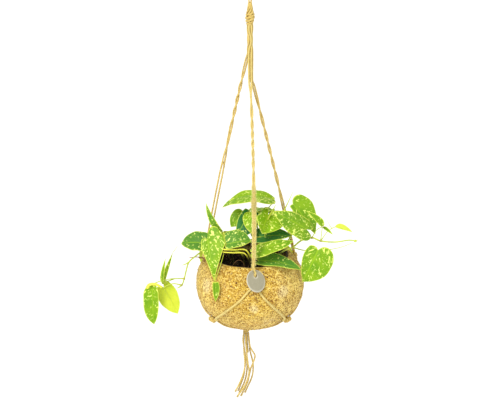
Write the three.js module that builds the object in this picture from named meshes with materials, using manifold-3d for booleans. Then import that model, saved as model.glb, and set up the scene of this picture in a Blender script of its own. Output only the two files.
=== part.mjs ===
// A satin pothos in a hanging ball pot of pressed coconut fibre, carried by a net of jute twine.
// Millimetres, +z up, x to the right, y to the back. The origin is the inside top of the hanging loop.
// Every place below is measured from the middle of the ball, and one group lowers it all at the end.
import * as THREE from 'three';
import * as BufferGeometryUtils from 'three/addons/utils/BufferGeometryUtils.js';
import Module from 'manifold-3d';

const wasm = await Module();
wasm.setup();

// Driving dimensions
const LOOP_TOP = 460; // inside top of the hanging loop above the middle of the ball
const GAP = 0.35; // left between pieces that touch
const SLANT_GAP = 1.1; // to the middle of a strand's end that meets a knot at a slant

const BALL_RADIUS = 76.6;
const BALL_HALF_HEIGHT = 66;
const RIM_HEIGHT = 42; // height of the mouth above the middle of the ball
const WALL = 7.5;
const RIM_CREST = [[0.3, 0.22], [0.75, 0.1]]; // its round top: how far in and high, as shares of the wall
const BALL_SIDES = 36;
const OUTER_STEPS = 14;
const INNER_STEPS = 8;

const SOIL_CROWN = 35; // height of the soil in the middle
const SOIL_RINGS = [0.66, 0.33, 0]; // rings of its top, as shares of its radius

const TWINE = 2.4; // diameter of one strand
const TWINE_SIDES = 6;
const FREE_TWINE_SIDES = 8;
const STRAND_OFFSET = 1.7; // from the middle of a knot to each of the two strands that leave it
const BUNDLE_RADIUS = 3.4; // the six strands stand on this circle below the top knot
const TOP_KNOT_LOW = 380;
const TOP_KNOT_HIGH = 414;
const TOP_KNOT_WIDTHS = [2.6, 5.0, 4.4, 6.7, 5.6, 6.9, 5.4, 6.2, 4.7, 5.2, 2.8]; // radii of its wraps
const KNOT_SIDES = 12;
const KNOT_NECK = 0.62; // a small knot's ends, as a share of its radius
const KNOT_GROOVE = 0.84; // between two of its wraps
const UPPER_KNOT_LEAN = 20; // degrees that it leans in over the ball's rim

const UPPER_KNOT = { height: 25.7, radius: 3.6, length: 9, wraps: 3 };
const LOWER_KNOT = { height: -41, radius: 3.8, length: 16, wraps: 4 };
const NET_SHARES = [0.16, 0.32, 0.5, 0.68, 0.83, 0.94]; // where a net strand is placed on its way down
const NET_BEND = { front: 1.35, back: 3.2 }; // how late it turns round the ball
const NET_SHORT = 5; // degrees by which it stops short of the lower knot's middle
const NET_PROUD = { over: 0.25, end: 0.8 }; // clear of the ball on the way and near its lower end
const UNDER_SHARES = [0.09, 0.3, 0.5, 0.7, 0.88]; // where a strand under the ball is placed
const UNDER_PROUD = 0.3;
const UNDER_END = { clear: 0.2, drop: 1 }; // from the bottom knot, and below the ball
const BOTTOM_KNOT = { x: -5.5, radius: 4.6, length: 9.5, wraps: 3 };

const BLADE_THICKNESS = 0.8;
const PETIOLE_RADIUS = 0.9;
const PETIOLE_RISE = 4; // height of its bend where a leaf gives none
const PETIOLE_REACH = 0.14; // how far it runs into the blade, as a share of the midrib
const PETIOLE_SUNK = { joint: 0.3, end: 0.2 }; // below the middle of the blade's thickness
const PETIOLE_SIDES = 4;
const STEM_RADIUS = 1.5;
const STEM_SIDES = 6;
const STEM_STEPS = 1.6; // steps along a stem for each of its points
const STEM_HOLE = 2.7; // radius of the plain hole that a stem stands in
const STEM_HOLE_SIDES = 8;

// Steps along the strands, as few as their bends need.
const STEPS = { loop: 22, tagged: 38, net: 10, under: 9, tassel: 12, petiole: 4 };
const LEG_STATIONS = 26;

const COLOURS = {
  coir: '#c79a55',
  soil: '#1e1712',
  twine: '#d9b878',
  leaf: '#5d9a2c',
  tag: '#b3a890',
};

// The three legs: azimuth of the upper knot (0 is the front, growing to the right), the height at
// which the leg leaves the bundle, how far it bows to the right halfway down, and the lay of its two
// strands as [share of the way down, half the distance between them, turns round each other].
const LEGS = [
  {
    name: 'front',
    azimuth: 4,
    split: 302,
    steps: 20,
    bow: 2.4,
    lay: [[0, 1.7, 0], [0.2, 1.5, 0], [0.5, 1.6, 0], [0.8, 1.9, 0], [1, 1.55, 0]],
  },
  {
    name: 'left',
    azimuth: -121,
    split: 340,
    steps: 32,
    bow: -2.2,
    lay: [[0, 1.7, 0], [0.3, 1.65, 0], [0.36, 1.6, 0.05], [0.46, 1.6, 0.45], [0.52, 2, 0.5],
      [0.75, 2.9, 0.5], [0.92, 2.4, 0.5], [1, 1.55, 0.5]],
  },
  {
    name: 'right',
    azimuth: 121,
    split: 302,
    steps: 16,
    bow: 0.8,
    lay: [[0, 1.7, 0], [0.3, 1.6, 0], [0.7, 1.8, 0], [1, 1.55, 0]],
  },
];
const RING_SHARE = Math.PI / 6; // the two strands of a leg stand this far each side of its azimuth

// Each lower knot ties one strand of each of two legs, halfway between them, its axis along the ball.
const LOWER_KNOTS = [
  { pair: ['front', 'left'], azimuth: -58 },
  { pair: ['front', 'right'], azimuth: 58 },
  { pair: ['left', 'right'], azimuth: 180 },
];

// The tag: its middle, the directions across and up its face, and its round hole.
const TAG = {
  middle: [8.2, -77.5, 31.7],
  across: [0.737, 0.676, -0.014],
  up: [-0.284, 0.328, 0.901],
  radius: 15.9,
  thickness: 1.2,
  holeRadius: 3.3,
  hole: [1.5, 8],
  strandLeaves: 64, // height at which its strand leaves the leg's own route
};

// The free ends of the tassel, each from under the bottom knot to its frayed tip.
const TASSEL = [
  [[-8.6, -1.6, -76], [-9.8, -3, -85], [-8, -4, -100], [-6.3, -3.4, -116], [-8.4, -3, -133],
    [-13.5, -2.5, -149], [-19.9, -2, -163]],
  [[-5.5, -3.4, -76], [-5.6, -4.4, -86], [-4.8, -6.4, -102], [-3.2, -6.6, -118], [-1.4, -6, -133],
    [-6, -5.6, -152], [-17.2, -5, -170]],
  [[-2.4, -1.6, -76], [-2, -2.4, -85], [0.8, -2.6, -98], [7, -2.6, -110], [3.8, -2.6, -122],
    [0.9, -2.8, -130], [-3.4, -2.2, -150], [-12, -1.8, -170]],
  [[-2.4, 1.7, -76], [-1.2, 2, -88], [0, 2.4, -104], [3.8, 2.8, -121], [4.5, 2.6, -132],
    [2.8, 2.4, -144], [-6.3, 2, -166]],
  [[-5.5, 3.5, -76], [-5.2, 5, -90], [-4.6, 5.6, -110], [-4, 5.6, -130], [-7, 5, -150], [-14.5, 4.2, -168]],
  [[-8.6, 1.7, -76], [-9, 3, -88], [-8.4, 3.6, -106], [-7.2, 2.6, -124], [-9, 1.8, -142], [-16, 1.4, -163]],
];

const BLADE_ROWS = [0, 0.22, 0.5, 0.8, 1]; // rows of a blade, as shares of its midrib
const BLADE_COLUMNS = [-1, -0.5, 0, 0.5, 1]; // and its columns, from the left margin to the right
const WIDEST = 0.24; // where a blade is widest, as a share of its midrib
const BLADE_BASE = 0.8; // its width at the joint, as a share of the widest
const BLADE_TIP = 0.03; // and at the tip
const LOBE_CREST = 0.55; // where between midrib and margin a lobe reaches furthest back
const LOBE_FALL = 0.55; // share of its reach that it loses out to the margin
const FOLD_EASE = 0.45; // by how much the fold flattens out at the margin

// The vines. A stem's points run from the soil to its tip. A leaf has the place where its petiole
// leaves the stem, its joint with the petiole, its tip and the direction that its upper face looks.
// Its left and right, as seen on that face with the tip up, each have their widest half in mm, the
// reach of the lobe back past the joint as a share of the midrib, and how full they stay towards
// the tip. Fold is the height that its edges rise as a share of the half width, and bow that of its
// midrib. A slender leaf has its own base. A petiole that has to pass round something has a bend, a
// point in the middle of its way.
const VINES = [
  {
    name: 'left_trailing_vine',
    stem: [[-8, -20, 22], [-8, -20, 38], [-14, -32, 57], [-37, -33, 63], [-62, -21, 57],
      [-77, -13, 44], [-86, -10, 34], [-89.5, -9, 22], [-92.5, -8, 9], [-96, -8, -1], [-103, -8, -6]],
    leaves: [
      { from: [-92.5, -8, 9], joint: [-137, -12, 0.5], tip: [-135, -20, -55.5], base: 0.5,
        face: [-0.2, -0.95, 0.1], left: [9, 0.05, 3.4], right: [13, 0.02, 4.2], fold: 0.35, bow: 3 },
      { from: [-96, -8, -1], joint: [-121, -7, -5], tip: [-101.5, -12, -42.5],
        face: [0.1, 0.95, 0.2], left: [18, 0.1, 3.2], right: [13, 0.2, 2.4], fold: 0.3, bow: 2 },
      { from: [-92.5, -8, 9], joint: [-122, -9, 1], tip: [-108.5, -4, 46.5], bend: [-107, -8, 8], base: 0.4,
        face: [0.3, -0.95, -0.1], left: [6.4, 0, 1.7], right: [1.2, 0, 1.6], fold: 0.5, bow: 1 },
      { from: [-92.5, -8, 9], joint: [-123, -11, 4], tip: [-118.5, -12, 41], bend: [-107, -9, 9], base: 0.4,
        face: [-0.3, -0.95, -0.1], left: [4, 0, 1.8], right: [1.6, 0, 1.6], fold: 0.5, bow: 1 },
    ],
  },
  {
    name: 'left_crown',
    stem: [[-24, -10, 20], [-24, -10, 38], [-27, -14, 52], [-34, -20, 62], [-44, -22, 66]],
    leaves: [
      { from: [-34, -20, 62], joint: [-40, -20, 84.5], tip: [-61.5, -10, 123],
        face: [-0.4, -0.85, 0.3], left: [7, 0.02, 2.2], right: [2.6, 0.02, 1.6], fold: 0.4, bow: 5 },
      { from: [-44, -22, 66], joint: [-59, -22, 67], tip: [-96.5, -12, 62.5],
        face: [-0.1, -0.6, 0.8], left: [15, 0.06, 2.4], right: [17, 0.08, 3.8], fold: 0.25, bow: 3 },
      { from: [-44, -22, 66], joint: [-59.5, -32, 77], tip: [-50, -60, 25],
        face: [-0.1, -0.9, 0.4], left: [25, 0.28, 0.8], right: [10.5, 0.03, 0.8], fold: 0.12, bow: 3 },
      { from: [-34, -20, 62], joint: [-33, -40, 72], tip: [2, -36, 75.5],
        face: [0.1, -0.7, 0.75], left: [19, 0.05, 3.6], right: [8.5, 0.06, 2.4], fold: 0.15, bow: 3 },
      { from: [-27, -14, 52], joint: [-9, 14, 97.5], tip: [-27, 6, 81],
        face: [-0.1, -0.75, 0.65], left: [12, 0.05, 1.8], right: [12.5, 0.1, 2.4], fold: 0.3, bow: 2 },
      { from: [-34, -20, 62], joint: [-49, -65, 24.5], tip: [-48.5, -68, -3], bend: [-40, -58, 52],
        face: [0.1, -0.95, 0.2], left: [6.4, 0.05, 1.9], right: [3.8, 0.05, 1.9], fold: 0.3, bow: 2 },
    ],
  },
  {
    name: 'upper_arched_leaf',
    stem: [[12, 14, 22], [12, 14, 38], [14, 16, 62], [18, 14, 86]],
    leaves: [
      { from: [18, 14, 86], joint: [33.5, 12, 119.5], tip: [-39, 12, 108], base: 0.5,
        face: [0, -0.25, 0.97], left: [23, 0.03, 2.8], right: [10.5, 0.02, 2.6], fold: 0.2, bow: 15 },
      { from: [14, 16, 62], joint: [4, 2, 104.5], tip: [7.5, -22, 77.5],
        face: [-0.3, -0.7, 0.65], left: [6, 0.04, 1.8], right: [14.5, 0.05, 2.2], fold: 0.2, bow: 3 },
      { from: [14, 16, 62], joint: [0.5, 8, 103.5], tip: [-19, -12, 73.5],
        face: [-0.1, -0.8, 0.6], left: [20, 0.1, 3.4], right: [10.5, 0.03, 2.2], fold: 0.2, bow: 2 },
    ],
  },
  {
    name: 'middle_crown',
    stem: [[12, -16, 22], [12, -16, 38], [14, -17, 54], [20, -16, 68]],
    leaves: [
      { from: [20, -16, 68], joint: [25.5, -4, 103.5], tip: [17, -34, 85.5],
        face: [-0.25, -0.75, 0.6], left: [28, 0.2, 6], right: [13.5, 0.36, 1.6], fold: 0.15, bow: 3 },
      { from: [14, -17, 54], joint: [4, -40, 60.5], tip: [61, -42, 78],
        face: [-0.2, -0.45, 0.87], left: [9, 0.06, 2.4], right: [16.5, 0.06, 3.2], fold: 0.2, bow: 3 },
      { from: [20, -16, 68], joint: [8.5, -12, 71.5], tip: [59, -20, 77.5],
        face: [0, -0.5, 0.86], left: [16, 0.16, 2], right: [13, 0.2, 2], fold: 0.2, bow: 3 },
      { from: [14, -17, 54], joint: [12, -38, 46.5], tip: [72.5, -48, 36.5],
        face: [0.1, -0.4, 0.9], left: [15, 0.08, 2.2], right: [11, 0.06, 2.2], fold: 0.2, bow: 6 },
    ],
  },
  {
    name: 'right_crown',
    stem: [[40, 2, 20], [40, 2, 38], [46, 2, 54], [56, 2, 66], [62, 2, 78]],
    leaves: [
      { from: [62, 2, 78], joint: [79, -14, 85], tip: [32, -36, 119],
        face: [0.3, -0.75, 0.55], left: [20, 0.16, 2.4], right: [14, 0.16, 2.3], fold: 0.15, bow: 3 },
      { from: [62, 2, 78], joint: [60, 10, 113.5], tip: [91.5, -2, 73],
        face: [0.3, -0.75, 0.5], left: [23.5, 0.14, 1.8], right: [7, 0.02, 1.6], fold: 0.2, bow: 3 },
    ],
  },
  {
    name: 'right_trailing_vine',
    stem: [[34, -14, 20], [34, -14, 38], [46, -14, 52], [59.5, -10, 56.5], [72, -4, 64.5],
      [86.7, -6, 69.5], [99.1, -14, 67.7], [118.9, -14, 66], [139.9, -14, 68.8], [148.3, -14, 67.5]],
    leaves: [
      { from: [86.7, -6, 69.5], joint: [101.5, -20, 91.5], tip: [79, -22, 115], base: 0.5,
        face: [0.3, -0.85, 0.4], left: [2.4, 0, 1.6], right: [7, 0.02, 2], fold: 0.3, bow: 2 },
      { from: [99.1, -14, 67.7], joint: [102, -14, 88.5], tip: [116, -14, 77], base: 0.3,
        face: [0.2, -0.9, 0.4], left: [3.2, 0, 1.8], right: [1.8, 0, 1.6], fold: 0.3, bow: 1 },
      { from: [99.1, -14, 67.7], joint: [119.5, -14, 89], tip: [143, -14, 81], base: 0.3,
        face: [0.2, -0.7, 0.7], left: [6.2, 0, 2.2], right: [1.8, 0, 1.8], fold: 0.3, bow: 1 },
      { from: [59.5, -10, 56.5], joint: [95, -22, 57], tip: [73.5, -30, 12.5], bend: [78, -16, 54],
        face: [0.05, -0.92, 0.35], left: [27.5, 0.18, 2.9], right: [16, 0.07, 1.7], fold: 0.12, bow: 3 },
    ],
  },
  {
    name: 'back_left_vine',
    stem: [[-30, 18, 20], [-30, 18, 38], [-33, 30, 52], [-38, 46, 58], [-44, 60, 50], [-48, 70, 34],
      [-50, 77, 14], [-48, 81, -6], [-44, 80, -22]],
    leaves: [
      { from: [-44, 60, 50], joint: [-40, 74, 46], tip: [-30, 104, 14],
        face: [0.2, 0.6, 0.8], left: [20, 0.17, 1.8], right: [20, 0.17, 1.8], fold: 0.25, bow: 5 },
      { from: [-50, 77, 14], joint: [-52, 90, 18], tip: [-56, 98, -32],
        face: [-0.2, 0.95, 0.1], left: [19, 0.17, 1.8], right: [19, 0.17, 1.8], fold: 0.25, bow: 4 },
      { from: [-44, 80, -22], joint: [-38, 86, -24], tip: [-32, 84, -60],
        face: [0.1, 1, 0.1], left: [15, 0.17, 1.8], right: [15, 0.17, 1.8], fold: 0.3, bow: 4 },
    ],
  },
  {
    name: 'back_right_vine',
    stem: [[26, 24, 20], [26, 24, 38], [28, 36, 54], [32, 52, 62], [38, 66, 50], [40, 76, 30], [38, 82, 10]],
    leaves: [
      { from: [28, 36, 54], joint: [52, 54, 70], tip: [84, 74, 52],
        face: [0.1, 0.2, 0.97], left: [19, 0.17, 1.8], right: [19, 0.17, 1.8], fold: 0.25, bow: 6 },
      { from: [32, 52, 62], joint: [16, 68, 70], tip: [0, 106, 46],
        face: [-0.1, 0.5, 0.85], left: [21, 0.17, 1.8], right: [21, 0.17, 1.8], fold: 0.25, bow: 5 },
      { from: [38, 76, 22], joint: [44, 86, 18], tip: [46, 98, -28],
        face: [0.3, 0.95, 0.3], left: [17, 0.17, 1.8], right: [17, 0.17, 1.8], fold: 0.25, bow: 4 },
      { from: [38, 82, 10], joint: [22, 90, 8], tip: [10, 92, -38],
        face: [-0.1, 1, 0.1], left: [17, 0.17, 1.8], right: [17, 0.17, 1.8], fold: 0.3, bow: 4 },
    ],
  },
  {
    name: 'back_crown',
    stem: [[-8, 22, 20], [-8, 22, 38], [-8, 32, 56], [-6, 42, 70]],
    leaves: [
      { from: [-8, 32, 56], joint: [-10, 48, 76], tip: [-14, 90, 62],
        face: [-0.1, 0.3, 0.95], left: [15, 0.17, 1.8], right: [15, 0.17, 1.8], fold: 0.3, bow: 5 },
      { from: [-6, 42, 70], joint: [12, 54, 84], tip: [30, 92, 68],
        face: [0.1, 0.3, 0.95], left: [17, 0.17, 1.8], right: [17, 0.17, 1.8], fold: 0.25, bow: 6 },
      { from: [-8, 32, 56], joint: [8, 36, 90], tip: [36, 34, 94],
        face: [0, 0.2, 0.97], left: [14, 0.17, 1.8], right: [14, 0.17, 1.8], fold: 0.3, bow: 4 },
    ],
  },
];

// Directions on the ball: azimuth 0 is the front and grows to the right.
function outward(azimuth) {
  const a = THREE.MathUtils.degToRad(azimuth);
  return new THREE.Vector3(Math.sin(a), -Math.cos(a), 0);
}

function sideways(azimuth) {
  const a = THREE.MathUtils.degToRad(azimuth);
  return new THREE.Vector3(Math.cos(a), Math.sin(a), 0);
}

// The point that stands proud of the ball's surface by a distance, at a tilt above its middle.
function onBall(azimuth, tilt, proud) {
  const out = outward(azimuth).multiplyScalar(Math.cos(tilt));
  const up = Math.sin(tilt);
  const point = out.clone().multiplyScalar(BALL_RADIUS);
  point.z = BALL_HALF_HEIGHT * up;
  const normal = out.multiplyScalar(1 / BALL_RADIUS);
  normal.z = up / BALL_HALF_HEIGHT;
  return point.addScaledVector(normal.normalize(), proud);
}

function tiltAt(height) {
  return Math.asin(height / BALL_HALF_HEIGHT);
}

// Reads a quantity from a list of stations, smoothly between them.
function along(stations, share, column) {
  let i = 1;
  while (i < stations.length - 1 && stations[i][0] < share) i += 1;
  const [low, high] = [stations[i - 1], stations[i]];
  const part = THREE.MathUtils.smoothstep(share, low[0], high[0]);
  return THREE.MathUtils.lerp(low[column], high[column], part);
}

// A closed geometry as a solid that can be joined and cut.
function solidOf(geometry) {
  const bare = geometry.clone();
  bare.deleteAttribute('normal');
  bare.deleteAttribute('uv');
  const merged = BufferGeometryUtils.mergeVertices(bare, 1e-3);
  return new wasm.Manifold(new wasm.Mesh({
    numProp: 3,
    vertProperties: Float32Array.from(merged.attributes.position.array),
    triVerts: Uint32Array.from(merged.index.array),
  }));
}

function geometryOf(solid) {
  const mesh = solid.getMesh();
  const geometry = new THREE.BufferGeometry();
  geometry.setAttribute('position', new THREE.BufferAttribute(Float32Array.from(mesh.vertProperties), 3));
  geometry.setIndex(new THREE.BufferAttribute(Uint32Array.from(mesh.triVerts), 1));
  geometry.computeVertexNormals();
  return geometry;
}

function material(colour, roughness) {
  return new THREE.MeshStandardMaterial({ color: COLOURS[colour], roughness, metalness: 0 });
}

function named(name, geometry, colour, roughness = 0.9) {
  const mesh = new THREE.Mesh(geometry, material(colour, roughness));
  mesh.name = name;
  return mesh;
}

// A round rod along a smooth curve through the points.
function rod(points, radius, steps, sides) {
  const path = new THREE.CatmullRomCurve3(points, false, 'centripetal');
  const section = new THREE.Shape(new THREE.Path().absarc(0, 0, radius, 0, 2 * Math.PI)
    .getSpacedPoints(sides).slice(0, sides));
  return new THREE.ExtrudeGeometry(section, { steps, extrudePath: path, bevelEnabled: false });
}

function vector(place) {
  return new THREE.Vector3(...place);
}

// Half of the ball's section, inset from its outside, from the foot up to the mouth.
function section(inset, steps) {
  const points = [];
  for (let i = 0; i <= steps; i += 1) {
    const tilt = THREE.MathUtils.lerp(-Math.PI / 2, tiltAt(RIM_HEIGHT), i / steps);
    points.push(new THREE.Vector2(
      (BALL_RADIUS - inset) * Math.cos(tilt),
      (BALL_HALF_HEIGHT - inset) * Math.sin(tilt),
    ));
  }
  points[0].x = 0;
  return points;
}

// The coir ball: one pressed shell from the middle of its foot out, over the mouth and back inside.
function coirBall() {
  const outside = section(0, OUTER_STEPS);
  const rim = outside[OUTER_STEPS];
  const crest = RIM_CREST.map(([inside, up]) => new THREE.Vector2(rim.x - WALL * inside, rim.y + WALL * up));
  return turned([...outside, ...crest, ...section(WALL, INNER_STEPS).reverse()], BALL_SIDES);
}

// A lathe turns about y, so it is stood up to turn about z.
function turned(profile, sides) {
  return new THREE.LatheGeometry(profile, sides).rotateX(Math.PI / 2);
}

// The soil fills the ball and is low-crowned on top. Each stem stands in a plain hole in it.
function soil() {
  const profile = section(WALL + GAP, INNER_STEPS).slice(0, INNER_STEPS);
  const edge = profile[profile.length - 1];
  for (const share of SOIL_RINGS) {
    const height = THREE.MathUtils.lerp(SOIL_CROWN, edge.y, share ** 2);
    profile.push(new THREE.Vector2(edge.x * share, height));
  }
  let body = solidOf(turned(profile, BALL_SIDES));
  for (const vine of VINES) {
    const [x, y, z] = vine.stem[0];
    const top = SOIL_CROWN + 10;
    const hole = new THREE.CylinderGeometry(STEM_HOLE, STEM_HOLE, top - z + GAP, STEM_HOLE_SIDES);
    hole.rotateX(Math.PI / 2).translate(x, y, (top + z - GAP) / 2);
    body = body.subtract(solidOf(hole));
  }
  return geometryOf(body);
}

// A knot with its wraps as rings side by side, its axis turned to a direction.
function knot({ radius, length, wraps }, middle, axis) {
  const neck = radius * KNOT_NECK;
  const pitch = length / wraps;
  const profile = [new THREE.Vector2(0, -length / 2), new THREE.Vector2(neck, -length / 2)];
  for (let i = 0; i < wraps; i += 1) {
    const height = pitch * (i + 0.5) - length / 2;
    profile.push(new THREE.Vector2(radius, height));
    if (i < wraps - 1) profile.push(new THREE.Vector2(radius * KNOT_GROOVE, height + pitch / 2));
  }
  profile.push(new THREE.Vector2(neck, length / 2), new THREE.Vector2(0, length / 2));
  const up = new THREE.Vector3(0, 0, 1);
  const turn = new THREE.Quaternion().setFromUnitVectors(up, axis.clone().normalize());
  return turned(profile, KNOT_SIDES).applyQuaternion(turn).translate(middle.x, middle.y, middle.z);
}

// The spindle-shaped knot at the top: widest a third of the way up.
function topKnot() {
  const pitch = (TOP_KNOT_HIGH - TOP_KNOT_LOW) / (TOP_KNOT_WIDTHS.length - 1);
  const profile = [new THREE.Vector2(0, TOP_KNOT_LOW)];
  TOP_KNOT_WIDTHS.forEach((radius, i) => {
    profile.push(new THREE.Vector2(radius, TOP_KNOT_LOW + pitch * i));
  });
  profile.push(new THREE.Vector2(0, TOP_KNOT_HIGH));
  return turned(profile, KNOT_SIDES);
}

// The hanging loop: out of the top knot, open into an eye and back into the knot.
function hangingLoop() {
  const foot = TOP_KNOT_HIGH + GAP;
  const top = LOOP_TOP + TWINE / 2;
  const right = [[1.6, foot], [1.6, foot + 6], [2.1, foot + 12], [5.6, foot + 22], [7.4, top - 14],
    [6.2, top - 4.5], [3, top - 0.8]];
  const left = right.map(([x, z]) => [-x, z]).reverse();
  const points = [...right, [0, top], ...left].map(([x, z]) => new THREE.Vector3(x, 0, z));
  return rod(points, TWINE / 2, STEPS.loop, FREE_TWINE_SIDES);
}

// Where the middle of a leg is, at a share of the way from the bundle to its upper knot.
function legMiddle(leg, share) {
  const inner = BUNDLE_RADIUS * Math.cos(RING_SHARE);
  const start = outward(leg.azimuth).multiplyScalar(inner).setZ(leg.split);
  const middle = start.lerp(legEnd(leg), share);
  middle.x += leg.bow * 4 * share * (1 - share);
  return middle;
}

function upperKnotMiddle(leg) {
  return onBall(leg.azimuth, tiltAt(UPPER_KNOT.height), UPPER_KNOT.radius + GAP);
}

function legEnd(leg) {
  const middle = upperKnotMiddle(leg);
  middle.addScaledVector(upperKnotAxis(leg), UPPER_KNOT.length / 2 + GAP);
  return middle;
}

// The upper knot lies on the ball, between the lie of the leg above it and of the ball below it.
function upperKnotAxis(leg) {
  const lean = THREE.MathUtils.degToRad(UPPER_KNOT_LEAN);
  return outward(leg.azimuth).multiplyScalar(-Math.sin(lean)).setZ(Math.cos(lean));
}

function legRoute(leg, side) {
  const a = THREE.MathUtils.degToRad(leg.azimuth) + side * RING_SHARE;
  const ring = new THREE.Vector3(Math.sin(a), -Math.cos(a), 0).multiplyScalar(BUNDLE_RADIUS);
  const points = [];
  for (const height of [TOP_KNOT_LOW - GAP, (TOP_KNOT_LOW + leg.split) / 2, leg.split]) {
    points.push(ring.clone().setZ(height));
  }
  const run = legEnd(leg).sub(legMiddle(leg, 0)).normalize();
  const across = sideways(leg.azimuth);
  const upright = run.clone().cross(across);
  for (let i = 1; i <= LEG_STATIONS; i += 1) {
    const share = i / LEG_STATIONS;
    const half = side * along(leg.lay, share, 1);
    const turn = 2 * Math.PI * along(leg.lay, share, 2);
    points.push(legMiddle(leg, share)
      .addScaledVector(across, half * Math.cos(turn))
      .addScaledVector(upright, half * Math.sin(turn)));
  }
  return points;
}

function legStrand(leg, side) {
  return rod(legRoute(leg, side), TWINE / 2, leg.steps, TWINE_SIDES);
}

// The strand that goes over the tag's top edge, through its hole and on to the knot.
function tagStrand(leg, side) {
  const clear = TAG.thickness / 2 + TWINE / 2 + GAP;
  const [holeAcross, holeUp] = TAG.hole;
  const points = legRoute(leg, side).filter((point) => point.z > TAG.strandLeaves);
  const stations = [
    [holeAcross - 0.6, holeUp + 11, clear + 0.4], [holeAcross - 0.3, holeUp + 6, clear],
    [holeAcross, holeUp + 2.4, clear - 0.1], [holeAcross, holeUp, 0],
    [holeAcross, holeUp - 2.8, -clear - 0.4], [holeAcross - 1, holeUp - 5, -clear - 1],
  ];
  for (const [across, up, proud] of stations) points.push(onTag(across, up, proud));
  return rod(points, TWINE / 2, STEPS.tagged, TWINE_SIDES);
}

// A point of the tag, across and up its face from the middle, and proud of it.
function onTag(across, up, proud) {
  const axes = tagAxes();
  return vector(TAG.middle)
    .addScaledVector(axes.across, across)
    .addScaledVector(axes.up, up)
    .addScaledVector(axes.face, proud);
}

function tagAxes() {
  const across = vector(TAG.across).normalize();
  const face = across.clone().cross(vector(TAG.up)).normalize();
  return { across, up: face.clone().cross(across), face };
}

function tag() {
  const disc = new THREE.Shape();
  disc.absarc(0, 0, TAG.radius, 0, 2 * Math.PI);
  const hole = new THREE.Path();
  hole.absarc(...TAG.hole, TAG.holeRadius, 0, 2 * Math.PI, true);
  disc.holes.push(hole);
  const geometry = new THREE.ExtrudeGeometry(disc, {
    depth: TAG.thickness, bevelEnabled: false, curveSegments: 14,
  });
  const axes = tagAxes();
  const place = new THREE.Matrix4().makeBasis(axes.across, axes.up, axes.face);
  return geometry.translate(0, 0, -TAG.thickness / 2).applyMatrix4(place).translate(...TAG.middle);
}

function lowerKnotMiddle(azimuth) {
  return onBall(azimuth, tiltAt(LOWER_KNOT.height), LOWER_KNOT.radius + GAP);
}

// A net strand runs over the ball from the foot of an upper knot into one end of a lower knot.
function netStrand(leg, azimuth, side) {
  const proud = TWINE / 2 + GAP;
  const start = upperKnotMiddle(leg)
    .addScaledVector(upperKnotAxis(leg), -UPPER_KNOT.length / 2 - SLANT_GAP)
    .addScaledVector(sideways(leg.azimuth), side * STRAND_OFFSET);
  const end = lowerKnotMiddle(azimuth)
    .addScaledVector(sideways(azimuth), -side * (LOWER_KNOT.length / 2 + SLANT_GAP));
  const from = leg.azimuth;
  const to = from + THREE.MathUtils.euclideanModulo(azimuth - from + 180, 360) - 180;
  const bend = leg.name === 'front' ? NET_BEND.front : NET_BEND.back;
  const points = [start];
  for (const share of NET_SHARES) {
    const tilt = THREE.MathUtils.lerp(tiltAt(UPPER_KNOT.height), tiltAt(LOWER_KNOT.height), share);
    const round = THREE.MathUtils.lerp(from, to - side * NET_SHORT, share ** bend);
    const last = share === NET_SHARES[NET_SHARES.length - 1];
    const place = onBall(round, tilt, proud + (last ? NET_PROUD.end : NET_PROUD.over));
    points.push(place.addScaledVector(sideways(round), side * STRAND_OFFSET * (1 - share)));
  }
  points.push(end);
  return rod(points, TWINE / 2, STEPS.net, TWINE_SIDES);
}

// A strand under the ball, from the side of a lower knot to the side of the bottom knot.
function underStrand(azimuth, side) {
  const proud = TWINE / 2 + GAP;
  const points = [];
  for (const share of UNDER_SHARES) {
    const tilt = THREE.MathUtils.lerp(tiltAt(LOWER_KNOT.height), -Math.PI / 2, share);
    const point = onBall(azimuth, tilt, proud + UNDER_PROUD);
    point.addScaledVector(sideways(azimuth), side * STRAND_OFFSET);
    point.x += BOTTOM_KNOT.x * share ** 2;
    points.push(point);
  }
  const toward = outward(azimuth).multiplyScalar(BOTTOM_KNOT.radius + GAP + UNDER_END.clear);
  const low = -BALL_HALF_HEIGHT - TWINE / 2 - UNDER_END.drop;
  const end = new THREE.Vector3(BOTTOM_KNOT.x, 0, low).add(toward);
  end.addScaledVector(sideways(azimuth), side * STRAND_OFFSET);
  points.push(end);
  return rod(points, TWINE / 2, STEPS.under, TWINE_SIDES);
}

function bottomKnotMiddle() {
  return new THREE.Vector3(BOTTOM_KNOT.x, 0, -BALL_HALF_HEIGHT - GAP - BOTTOM_KNOT.length / 2);
}

function tasselStrand(points) {
  return rod(points.map(vector), TWINE / 2, STEPS.tassel, FREE_TWINE_SIDES);
}

// A blade's point: t runs down the midrib, s across from edge to edge, lift through its thickness.
// The lobes reach back furthest about halfway out to the edge.
function bladePoint(leaf, t, s, lift) {
  const joint = vector(leaf.joint);
  const axis = vector(leaf.tip).sub(joint);
  const length = axis.length();
  axis.normalize();
  const face = vector(leaf.face);
  face.addScaledVector(axis, -face.dot(axis)).normalize();
  const side = axis.clone().cross(face);
  const [widest, lobe, full] = s > 0 ? leaf.right : leaf.left;
  const edge = Math.abs(s);
  const half = widest * outlineAt(t, full, leaf.base ?? BLADE_BASE);
  const back = lobe * (1 - t) ** 3 * lobeAt(edge);
  const rise = leaf.fold * half * edge * (1 - FOLD_EASE * edge) + leaf.bow * 4 * t * (1 - t);
  return joint
    .addScaledVector(axis, length * (t - back))
    .addScaledVector(side, half * s)
    .addScaledVector(face, rise + lift);
}

// Half width of one side at a place along the midrib, as a share of the side's widest.
function outlineAt(t, full, base) {
  if (t < WIDEST) return 1 - (1 - base) * (1 - t / WIDEST) ** 2;
  return Math.max(1 - ((t - WIDEST) / (1 - WIDEST)) ** full, BLADE_TIP);
}

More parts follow.
